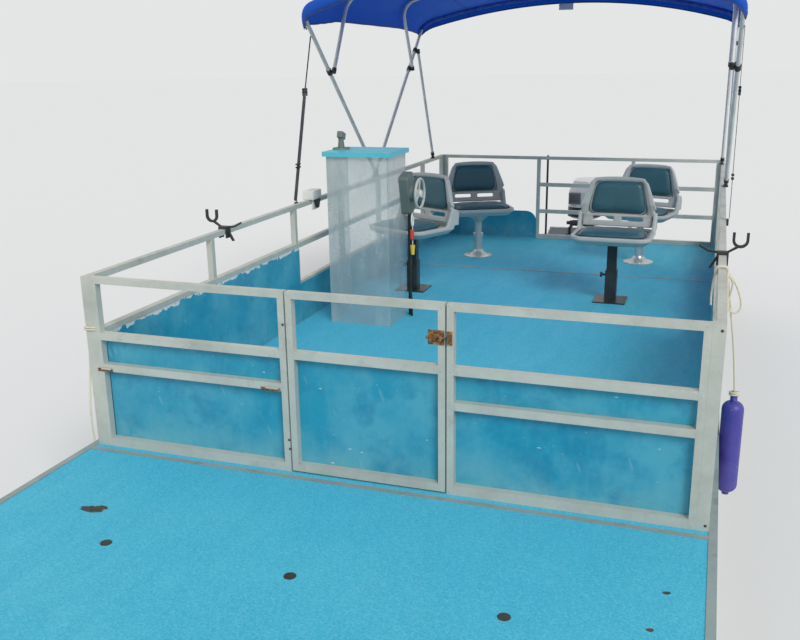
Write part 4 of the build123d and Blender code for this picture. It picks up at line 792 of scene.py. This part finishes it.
main_fore = bow_shape((0.942, 1.483), (-0.393, 2.71))
main_aft = bow_shape((0.958, 1.483), (2.293, 2.71))
fore_pivot = main_fore["foot"] + main_fore["up"] * 1.032
aft_pivot = main_aft["foot"] + main_aft["up"] * 1.032
inner_fore = bow_shape((fore_pivot.y, fore_pivot.z), (0.55, 2.81))
inner_aft = bow_shape((aft_pivot.y, aft_pivot.z), (1.396, 2.81))
canvas_rows = (
    # place along the cloth, bow, skirt, gap from the bow's centreline, shift aft, shift down
    (0.00, main_fore, 0.020, 0.014, 0.010, 0.062),
    (0.02, main_fore, 0.020, 0.016, -0.008, 0.030),
    (0.04, main_fore, 0.020, 0.017, -0.006, 0.004),
    (0.05, main_fore, 0.020, 0.0175, 0.0, 0.0),
    (0.36, inner_fore, 0.060, 0.0165, 0.0, 0.0),
    (0.64, inner_aft, 0.060, 0.0165, 0.0, 0.0),
    (0.95, main_aft, 0.020, 0.0175, 0.0, 0.0),
    (0.96, main_aft, 0.020, 0.017, 0.006, 0.004),
    (0.98, main_aft, 0.020, 0.016, 0.008, 0.030),
    (1.00, main_aft, 0.020, 0.014, -0.010, 0.062),
)


def canvas_point(across, along, sag):
    """A point on the canvas. across runs from -1 to 1 and along from 0 at the bow end to 1 aft."""
    side = 1.0 if across >= 0 else -1.0
    share = abs(across)
    for first, second in zip(canvas_rows[:-1], canvas_rows[1:]):
        if along <= second[0] + 1e-9:
            break
    t = (along - first[0]) / (second[0] - first[0])
    places = []
    for _, bow, skirt, out, aft, down in (first, second):
        u, point = bow_point(bow, share, skirt, out)
        places.append(Vector((side * u, point.y + aft, point.z - down * (1.0 if share < 0.9 else 0.4))))
    spot = places[0].lerp(places[1], t)
    if second[0] - first[0] > 0.1:
        dip = sag * sin(pi * t) * (1.0 - 0.35 * share)
        spot.z -= dip * (1.0 if share < 0.86 else 0.0)
        if share >= 0.76:
            spot.x -= side * 0.018 * sin(pi * t)
        ripple = 0.0025 * sin(40.0 * along + 7.0 * across) * sin(pi * t)
        spot.z -= abs(ripple)
    return spot


class BOAT_OT_canvas(bpy.types.Operator):
    """Stretch the canvas top over its bows and bind its edges."""

    bl_idname = "boat.canvas"
    bl_label = "Canvas top"

    def execute(self, context):
        sag = context.scene.boat_sizes.canvas_sag
        form = bmesh.new()
        bmesh.ops.create_grid(form, x_segments=96, y_segments=80, size=1.0)
        uv = form.loops.layers.uv.new("Cloth")
        flat = {v: (v.co.x, (v.co.y + 1) / 2) for v in form.verts}
        for face in form.faces:
            for loop in face.loops:
                across, along = flat[loop.vert]
                loop[uv].uv = (across * 1.36, along * 2.86)
        for vert, (across, along) in flat.items():
            vert.co = canvas_point(across, along, sag)
        bmesh.ops.recalc_face_normals(form, faces=form.faces)
        cloth = keep("canopy_cloth", form, "blue_canvas", "boat", crease=180)
        thicken = cloth.modifiers.new("Cloth thickness", "SOLIDIFY")
        thicken.thickness = 0.0014
        thicken.offset = 1.0
        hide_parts("canopy")
        trims = []
        for name, across in (("port", 1.0), ("starboard", -1.0)):
            line = [canvas_point(across, i / 40, sag) for i in range(41)]
            trims.append(("canopy_binding_" + name, line, 0.004, "navy_binding"))
        for name, along in (("fore", 0.0), ("aft", 1.0)):
            line = [canvas_point(-1 + i / 30, along, sag) for i in range(61)]
            trims.append(("canopy_binding_" + name, line, 0.004, "navy_binding"))
        for name, bow in (("fore", main_fore), ("aft", main_aft)):
            line = []
            for i in range(61):
                u, point = bow_point(bow, abs(-1 + i / 30) * 0.90, 0.020, 0.0)
                line.append(Vector((u if i >= 30 else -u, point.y, point.z)))
            trims.append(("bow_sleeve_" + name, line, 0.0152, "bow_sleeve"))
        edges = [tube_mesh(*trim, "boat", kind="POLY", slot="blue_canvas") for trim in trims]
        form = bmesh.new()
        edge = canvas_point(-0.055, 1.0, sag)
        tab_low = edge - Vector((0.055, 0.001, 0.050))
        tab_high = edge + Vector((0.055, 0.002, 0.004))
        add_block(form, tab_low, tab_high, 0.0008)
        edges.append(keep("canopy_tab", form, "pale_tab", "boat"))
        return {"FINISHED"}


class BOAT_OT_straps(bpy.types.Operator):
    """Set the slides on the webbing straps."""

    bl_idname = "boat.straps"
    bl_label = "Strap hardware"

    def execute(self, context):
        form = bmesh.new()
        for side in (-1, 1):
            x = side * 1.1935
            for y, z in ((fence_y + 2.144, deck_z + 1.321), (fence_y + 2.01, deck_z + 0.90)):
                for low, high in ((-0.004, 0.004), (0.014, 0.022)):
                    add_block(form, (x - 0.007, y - 0.024, z + low), (x + 0.007, y + 0.024, z + high), 0.0015)
        keep("strap_slides", form, "black_nylon", "boat")
        return {"FINISHED"}


class BOAT_OT_seat_shells(bpy.types.Operator):
    """Mould the seat pans and backs in one skin each and set them in place."""

    bl_idname = "boat.seat_shells"
    bl_label = "Seat shells"

    def execute(self, context):
        voxel = context.scene.boat_sizes.shell_voxel
        kinds = (
            # suffix, body, the piece's own frame in the seat, added forms
            ("pan", "seat", Matrix(), None),
            ("back", "backrest", back_place(), thicken_back),
        )
        for suffix, tail, own, thicken in kinds:
            home = seat_place(1) @ own
            first = moulded_copy("front_port_" + suffix, voxel, "shell_" + suffix, home, thicken)
            if suffix == "back":
                for vert in first.vertices:
                    vert.co = seat_curve(vert.co)
            for index, (name, *_) in enumerate(seats):
                mesh = first.copy()
                mesh.transform(seat_place(index) @ own)
                node = name + "_" + suffix
                piece = keep_mesh(node + "_shell", mesh, "seat_shell", name + "_" + tail, crease=60)
                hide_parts(node)
        return {"FINISHED"}


def rounded(a, b, power=6.0):
    """A point of the square from -1 to 1, moved so that the square's corners are round."""
    big = max(abs(a), abs(b))
    if big < 1e-6:
        return a, b
    ring = big * (abs(a / big) ** power + abs(b / big) ** power) ** (1 / power)
    return a * big / ring, b * big / ring


def pad_form(half_width, half_depth, taper, low, side_high, crown):
    """A closed crowned pad over a rounded outline; taper is how much narrower the far edge is."""
    form = bmesh.new()
    bmesh.ops.create_grid(form, x_segments=36, y_segments=32, size=1.0)
    roll_depth = 0.4 * (side_high - low)
    for vert in form.verts:
        a, b = rounded(vert.co.x, vert.co.y)
        edge = max(abs(vert.co.x), abs(vert.co.y))
        wide = half_width * (1.0 - taper * (b + 1) / 2)
        rise = (1 - edge**6) * (0.7 + 0.3 * (1 - a * a) * (1 - b * b))
        vert.co = (a * wide, b * half_depth, side_high + crown * rise - roll_depth * edge**16)
    rim = [e for e in form.edges if e.is_boundary]
    top = side_high - roll_depth
    for drop, grow in ((0.5, 1.010), (1.0, 0.980)):
        made = bmesh.ops.extrude_edge_only(form, edges=rim)["geom"]
        verts = [g for g in made if isinstance(g, bmesh.types.BMVert)]
        rim = [g for g in made if isinstance(g, bmesh.types.BMEdge) and g.is_boundary]
        for vert in verts:
            vert.co.z = top + (low - top) * drop
            vert.co.x *= grow
            vert.co.y *= grow
    bmesh.ops.holes_fill(form, edges=rim, sides=0)
    bmesh.ops.recalc_face_normals(form, faces=form.faces)
    return form


def pad_outline(half_width, half_depth, taper, height, count=96):
    """Points round the pad's upper edge, for its piping."""
    points = []
    for i in range(count):
        angle = 2 * pi * i / count
        reach = 1.0 / max(abs(cos(angle)), abs(sin(angle)))
        a, b = rounded(cos(angle) * reach, sin(angle) * reach)
        wide = half_width * (1.0 - taper * (b + 1) / 2)
        points.append(Vector((a * wide, b * half_depth, height)))
    return points


class BOAT_OT_seat_pads(bpy.types.Operator):
    """Swell the vinyl pads, pipe their edges with a dark tube that paints the shade of the gap round each pad,
    and set them on the pans and on the backs.
    """

    bl_idname = "boat.seat_pads"
    bl_label = "Seat pads"

    def execute(self, context):
        crown = context.scene.boat_sizes.pad_crown
        pan_low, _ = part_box("front_port_pan_pad")
        pan_z = pan_low.z - seats[1][3]
        middle = back_height / 2 + 0.001
        kinds = (
            # suffix, body, place in the seat, half width, half depth, taper, low, side height, crown
            ("pan_pad", "seat", Matrix.Translation((0, -0.0575, 0)),
             0.206, 0.134, 0.03, pan_z + 0.002, 0.070, crown * 0.6),
            ("back_pad", "backrest", back_place() @ Matrix.Translation((0, middle, 0)),
             0.182, 0.107, 0.06, -0.010, 0.009, crown),
        )
        swell = 0.006
        for suffix, tail, own, wide, deep, taper, low, high, rise in kinds:
            first = puffed(as_mesh(suffix, pad_form(wide, deep, taper, low, high, rise)), swell)
            height = high - 0.4 * (high - low) + 0.003
            grow = 1.0 + 0.6 * swell / deep
            ring = pad_outline(wide * grow, deep * grow, taper, height)
            if suffix == "back_pad":
                shift = Vector((0, middle, 0))
                for vert in first.vertices:
                    vert.co = seat_curve(vert.co + shift) - shift
                ring = [seat_curve(point + shift) - shift for point in ring]
            for index, (name, *_) in enumerate(seats):
                to_place = seat_place(index) @ own
                mesh = first.copy()
                mesh.transform(to_place)
                node = name + "_" + suffix
                body = name + "_" + tail
                pad = keep_mesh(node + "_soft", mesh, "seat_vinyl", body, crease=70)
                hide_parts(node)
                # A dark piping tube round each pad: painted shade of the gap between pad and shell.
                tube_mesh(node + "_piping", [to_place @ point for point in ring], 0.0024, "gap_shade_piping", body,
                          cyclic=True, kind="POLY", slot="seat_vinyl")
        return {"FINISHED"}


class BOAT_OT_fence_hardware(bpy.types.Operator):
    """Set rivets, screws and the rusty stubs on the fence."""

    bl_idname = "boat.fence_hardware"
    bl_label = "Fence hardware"

    def execute(self, context):
        front = fence_y - 0.0004
        form = bmesh.new()
        for x in (-1.125, 0.308, 1.125, -0.294, 0.276):
            for z in (0.012, 0.462, 0.69):
                add_dome(form, (x, front, deck_z + z), 0.0032, 0.0014, (0, -1, 0))
        for side in (-1, 1):
            for y in (0.3, 0.62, 1.25, 1.6):
                spot = (side * (fence_half - 0.0324 - 0.003), fence_y + y, deck_z + 0.462)
                add_dome(form, spot, 0.004, 0.002, (-side, 0, 0))
        keep("fence_rivets", form, "rail_aluminium", "boat")
        form = bmesh.new()
        for x, z in ((-0.319, 0.577), (-0.316, 0.129), (-0.314, 0.093), (0.296, 0.577), (1.168, 0.02),
                     (1.168, 0.68)):
            add_dome(form, (x, front, deck_z + z), 0.0050, 0.0026, (0, -1, 0))
        keep("dark_rivets", form, "motor_black", "boat")
        rusty = bmesh.new()
        pale = bmesh.new()
        for x, z, half in ((-1.108, 0.329, 0.034), (-0.382, 0.327, 0.040)):
            z += deck_z
            add_block(rusty, (x - half, front - 0.003, z - 0.010), (x + half, front, z + 0.003), 0.0012)
            add_block(pale, (x - 0.5 * half, front - 0.0042, z - 0.001),
                      (x + 0.8 * half, front - 0.0024, z + 0.006), 0.0008)
        keep("rail_stubs", rusty, "latch_brass", "boat")
        keep("rail_stub_flakes", pale, "rail_aluminium", "boat")
        return {"FINISHED"}


def hung_rope(name, points, length, far_end, replaced=None, **declared):
    """A limp rope that hangs on the boat from its first point; its length is not used."""
    thick = bpy.context.scene.boat_sizes.rope
    rope = curve_object(name, points, thick / 2)
    rope.data.materials.append(finishes["cream_rope"])
    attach(rope, "boat")
    if replaced:
        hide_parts(replaced)


class BOAT_OT_lines(bpy.types.Operator):
    """Hang the fender on its line, with loose loops at the rail, and a rope's end at the bow post."""

    bl_idname = "boat.lines"
    bl_label = "Ropes"

    def execute(self, context):
        radius = context.scene.boat_sizes.rope / 2
        y = fence_y + 0.85
        outer = fence_half + 0.0003 + radius
        top = deck_z + 0.0002 + 0.7 - 0.012
        fender_low, fender_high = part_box("fender")
        eye = ((fender_low.x + fender_high.x) / 2, y, fender_high.z + 0.0006)
        line = [(outer, y, top), (outer + 0.012, y, top - 0.09), (eye[0] - 0.012, y, eye[2] + 0.16), eye]
        hung_rope("fender_rope", line, 0.506, "fitting", "fender_line", with_pieces=["fender"])

        mid = y - 0.046
        loop = [(outer + out, mid + aft, top - down) for out, aft, down in (
            (0.0, 0.014, 0.0), (0.004, 0.022, 0.050), (0.008, 0.028, 0.104), (0.010, 0.029, 0.160),
            (0.010, -0.029, 0.160), (0.008, -0.028, 0.104), (0.004, -0.022, 0.050), (0.0, -0.014, 0.0))]
        hung_rope("spare_loop", loop, 0.358, "object", "line_loop")

        wrap = []
        half = 0.0145 + radius
        rail_x = fence_half - 0.015
        for i in range(context.scene.boat_sizes.strands * turn_steps + 1):
            angle = 2 * pi * i / turn_steps
            c, s = cos(angle), sin(angle)
            big = max(abs(c), abs(s))
            reach = half / big if big > 0.8 else half * 1.12
            wrap.append((rail_x + reach * c * 1.08, y - 0.04 + 0.0086 * i / turn_steps,
                         deck_z + 0.6875 + reach * s * 0.92))
        tube_mesh("rail_wraps", wrap, radius, "cream_rope", "boat", kind="POLY")

        inner = fence_half - 0.030 - skin_gap - radius
        tail = [(inner - back, y + aft, top - down) for back, aft, down in (
            (0.0, -0.018, 0.0), (0.010, -0.010, 0.035), (0.012, 0.006, 0.075), (0.014, 0.012, 0.115),
            (0.012, 0.010, 0.150))]
        hung_rope("inside_tail", tail, 0.155, "bare")

        teardrop = [(outer + out, y - 0.024 - fore, top - 0.004 - down) for out, fore, down in (
            (0.0, 0.0, 0.0), (0.014, 0.002, 0.016), (0.034, 0.004, 0.044), (0.051, 0.006, 0.084),
            (0.061, 0.008, 0.120), (0.058, 0.009, 0.150), (0.036, 0.010, 0.164), (0.015, 0.010, 0.148),
            (0.012, 0.009, 0.118), (0.019, 0.008, 0.082), (0.025, 0.008, 0.046), (0.014, 0.012, 0.020),
            (0.0, 0.014, 0.006))]
        hung_rope("outer_loop", teardrop, 0.362, "object")

        knot = []
        for i in range(2 * turn_steps + 1):
            angle = 2 * pi * i / turn_steps
            knot.append((eye[0] + (0.0135 + radius) * cos(angle), y + (0.0135 + radius) * sin(angle),
                         eye[2] - 0.014 + 0.009 * i / turn_steps))
        tube_mesh("fender_knot", knot, radius, "cream_rope", "boat", kind="POLY")

        post_x = -fence_half - skin_gap - radius
        low_y = fence_y + 0.014
        fall = [(post_x - out, low_y + aft, z) for out, aft, z in (
            (0.0, 0.0, 1.236), (0.004, 0.006, 1.18), (0.007, 0.004, 1.11), (0.006, -0.010, 1.03),
            (0.005, -0.024, 0.95), (0.006, -0.030, 0.87), (0.008, -0.026, 0.81), (0.010, -0.020, 0.762))]
        hung_rope("bow_post_rope", fall, 0.477, "bare")

        wrap = []
        half = 0.020 + radius + skin_gap
        for i in range(2 * turn_steps + 1):
            angle = pi + 2 * pi * i / turn_steps
            c, s = cos(angle), sin(angle)
            big = max(abs(c), abs(s))
            a, b = rounded(c / big, s / big, 9.0)
            wrap.append((-fence_half + 0.020 + half * a, fence_y + 0.020 + half * b,
                         1.236 + 0.009 * i / turn_steps))
        tube_mesh("bow_post_wraps", wrap, radius, "cream_rope", "boat", kind="POLY")
        return {"FINISHED"}


class BOAT_OT_helm_details(bpy.types.Operator):
    """Add the cables, the key with its floats, the wheel's hub and the box on the starboard rail."""

    bl_idname = "boat.helm_details"
    bl_label = "Helm details"

    def execute(self, context):
        low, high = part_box("control_box")
        x = high.x - 0.052
        y = (low.y + high.y) / 2
        cable = [(x, y - 0.02, low.z + 0.012), (x + 0.006, y - 0.01, low.z - 0.06),
                 (x + 0.012, y - 0.035, low.z - 0.2), (x + 0.004, y - 0.045, low.z - 0.38),
                 (x + 0.010, y - 0.03, deck_z + 0.09), (x + 0.002, y - 0.01, deck_z + 0.006)]
        tube_mesh("throttle_cable", cable, 0.006, "cable_rubber", "boat")
        second = [(px - 0.016, py + 0.02, pz) for px, py, pz in cable]
        tube_mesh("shift_cable", second, 0.005, "cable_rubber", "boat")

        key_x = x + 0.024
        key_y = y - 0.050
        top = low.z + 0.010
        loop = []
        for i in range(turn_steps):
            angle = 2 * pi * i / turn_steps
            loop.append((key_x, key_y + 0.016 * sin(angle), top - 0.036 + 0.034 * cos(angle)))
        tube_mesh("key_strap", loop, 0.005, "signal_white", "boat", cyclic=True, kind="POLY",
                  slot="seat_shell")
        cord = [(key_x, key_y, top - 0.070), (key_x + 0.002, key_y - 0.002, top - 0.12),
                (key_x, key_y, top - 0.185)]
        tube_mesh("key_lanyard", cord, 0.0025, "signal_white", "boat", slot="cream_rope")
        peg = bmesh.new()
        add_rod(peg, (x - 0.004, key_y, top - 0.003), (key_x + 0.008, key_y, top - 0.003), 0.004)
        keep("key_peg", peg, "black_nylon", "boat")
        red = bmesh.new()
        add_block(red, (key_x - 0.010, key_y - 0.020, top - 0.150),
                  (key_x + 0.010, key_y + 0.004, top - 0.090), 0.006, 3)
        keep("key_float_red", red, "signal_red", "boat")
        yellow = bmesh.new()
        add_rod(yellow, (key_x, key_y, top - 0.240), (key_x, key_y, top - 0.185), 0.010, 0.015)
        keep("key_float_yellow", yellow, "signal_yellow", "boat")

        wheel_low, wheel_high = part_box("hand_wheel")
        centre = (wheel_low + wheel_high) / 2
        hub = bmesh.new()
        ends = [(wheel_high.x + shift, centre.y, centre.z) for shift in (-0.006, 0.004)]
        add_rod(hub, *ends, 0.024, 0.019, 32)
        keep("wheel_hub", hub, "signal_white", "hand_wheel_body")
        box = bmesh.new()
        rail_x = -fence_half + 0.015
        rail_top = rail_z + 0.0012
        add_block(box, (rail_x - 0.030, -0.245, rail_top), (rail_x + 0.040, -0.125, rail_top + 0.055),
                  0.006, 3)
        add_block(box, (rail_x + 0.0165, -0.225, rail_top - 0.060), (rail_x + 0.026, -0.145, rail_top + 0.004),
                  0.002)
        keep("rail_box", box, "signal_white", "boat")
        wedge = bmesh.new()
        made = add_block(wedge, (rail_x + 0.028, -0.215, rail_top - 0.050),
                         (rail_x + 0.044, -0.150, rail_top + 0.002))
        tip = [v for v in made if v.co.z < rail_top - 0.040]
        bmesh.ops.scale(wedge, vec=(1, 0.3, 1), verts=tip, space=Matrix.Translation((0, 0.1825, 0)))
        keep("rail_box_wedge", wedge, "black_nylon", "boat")
        return {"FINISHED"}


class BOAT_OT_motor_details(bpy.types.Operator):
    """Add the cowl's panel, its louvres and its latch."""

    bl_idname = "boat.motor_details"
    bl_label = "Motor details"

    def execute(self, context):
        low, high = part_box("motor_cowl")
        form = bmesh.new()
        panel_low = low.z + 0.118
        add_block(form, (low.x + 0.018, low.y - 0.003, panel_low),
                  (low.x + 0.128, low.y + 0.02, panel_low + 0.105), 0.004)
        keep("cowl_panel", form, "grey_panel", "motor_body")
        form = bmesh.new()
        for row in range(5):
            z = panel_low + 0.020 + 0.016 * row
            add_block(form, (low.x + 0.030, low.y - 0.0055, z), (low.x + 0.116, low.y - 0.002, z + 0.005),
                      0.001)
        keep("cowl_louvres", form, "motor_black", "motor_body")
        latch = bmesh.new()
        add_block(latch, (-0.03, high.y - 0.004, 0.925), (0.03, high.y + 0.008, 0.965), 0.003)
        keep("cowl_latch", latch, "black_nylon", "motor_body")
        return {"FINISHED"}


class BOAT_OT_stage(bpy.types.Operator):
    """Set the pale floor at the waterline, the soft lights and the camera."""

    bl_idname = "boat.stage"
    bl_label = "Stage"

    def execute(self, context):
        form = bmesh.new()
        bmesh.ops.create_circle(form, cap_ends=True, segments=64, radius=150.0)
        bmesh.ops.translate(form, vec=(0, 0, waterline_z), verts=form.verts)
        mesh = as_mesh("floor", form)
        paint = bpy.data.materials.new("pale floor")
        paint.use_nodes = True
        shader = paint.node_tree.nodes["Principled BSDF"]
        shader.inputs["Base Color"].default_value = (0.80, 0.81, 0.81, 1)
        shader.inputs["Roughness"].default_value = 1.0
        shader.inputs["Specular IOR Level"].default_value = 0.0
        mesh.materials.append(paint)
        placed("floor", mesh)

        world = bpy.data.worlds.new("soft sky")
        context.scene.world = world
        world.use_nodes = True
        tree = world.node_tree
        lit = tree.nodes["Background"]
        lit.inputs["Color"].default_value = (1.0, 1.0, 1.0, 1)
        lit.inputs["Strength"].default_value = sky_light
        seen = add_node(tree, "ShaderNodeBackground", {"Color": backdrop})
        ray = add_node(tree, "ShaderNodeLightPath")
        straight = math_node(tree, "MAXIMUM", ray.outputs["Is Camera Ray"], ray.outputs["Is Glossy Ray"])
        straight = math_node(tree, "MAXIMUM", straight, ray.outputs["Is Transmission Ray"])
        either = add_node(tree, "ShaderNodeMixShader", {0: straight, 1: lit.outputs[0], 2: seen.outputs[0]})
        tree.links.new(either.outputs[0], tree.nodes["World Output"].inputs["Surface"])

        light = bpy.data.lights.new("high lamp", "SUN")
        light.energy = lamp_light
        light.angle = radians(24.0)
        lamp = placed("high lamp", light)
        lamp.rotation_euler = Vector((-0.50, 0.60, -0.62)).to_track_quat("-Z", "Y").to_euler()

        camera = placed("camera", bpy.data.cameras.new("camera"))
        camera.data.sensor_width = 36.0
        camera.data.lens = 40.44
        camera.data.clip_end = 400.0
        turn = Matrix.Rotation(0.3376, 4, "Z") @ Matrix.Rotation(-0.2785, 4, "X")
        turn = turn @ Matrix.Rotation(0.0140, 4, "Y")
        place = Matrix.Translation((1.109, fence_y - 2.792, deck_z + 1.477))
        camera.matrix_world = place @ turn @ Matrix.Rotation(pi / 2, 4, "X")
        context.scene.camera = camera
        context.scene.view_settings.view_transform = "Standard"
        return {"FINISHED"}


class BOAT_PT_panel(bpy.types.Panel):
    """Sidebar panel that lists the boat's operators and settings."""

    bl_label = "Pontoon boat"
    bl_idname = "BOAT_PT_panel"
    bl_space_type = "VIEW_3D"
    bl_region_type = "UI"
    bl_category = "Pontoon boat"

    def draw(self, context):
        for settings in (context.scene.boat_colours, context.scene.boat_sizes):
            for key in settings.bl_rna.properties.keys():
                if key not in ("rna_type", "name"):
                    self.layout.prop(settings, key)
        for operator in operators:
            self.layout.operator(operator.bl_idname)


operators = (
    BOAT_OT_finishes,
    BOAT_OT_stage,
    BOAT_OT_lines,
    BOAT_OT_canvas,
    BOAT_OT_straps,
    BOAT_OT_seat_shells,
    BOAT_OT_seat_pads,
    BOAT_OT_fence_hardware,
    BOAT_OT_helm_details,
    BOAT_OT_motor_details,
)
classes = (BoatColours, BoatSizes, *operators, BOAT_PT_panel)


def register():
    for item in classes:
        bpy.utils.register_class(item)
    bpy.types.Scene.boat_colours = PointerProperty(type=BoatColours)
    bpy.types.Scene.boat_sizes = PointerProperty(type=BoatSizes)


def unregister():
    del bpy.types.Scene.boat_sizes
    del bpy.types.Scene.boat_colours
    for item in reversed(classes):
        bpy.utils.unregister_class(item)


def main():
    """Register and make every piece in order."""
    register()
    bpy.ops.boat.finishes()
    bpy.ops.boat.stage()
    bpy.ops.boat.lines()
    bpy.ops.boat.canvas()
    bpy.ops.boat.straps()
    bpy.ops.boat.seat_shells()
    bpy.ops.boat.seat_pads()
    bpy.ops.boat.fence_hardware()
    bpy.ops.boat.helm_details()
    bpy.ops.boat.motor_details()


if __name__ == "__main__":
    main()
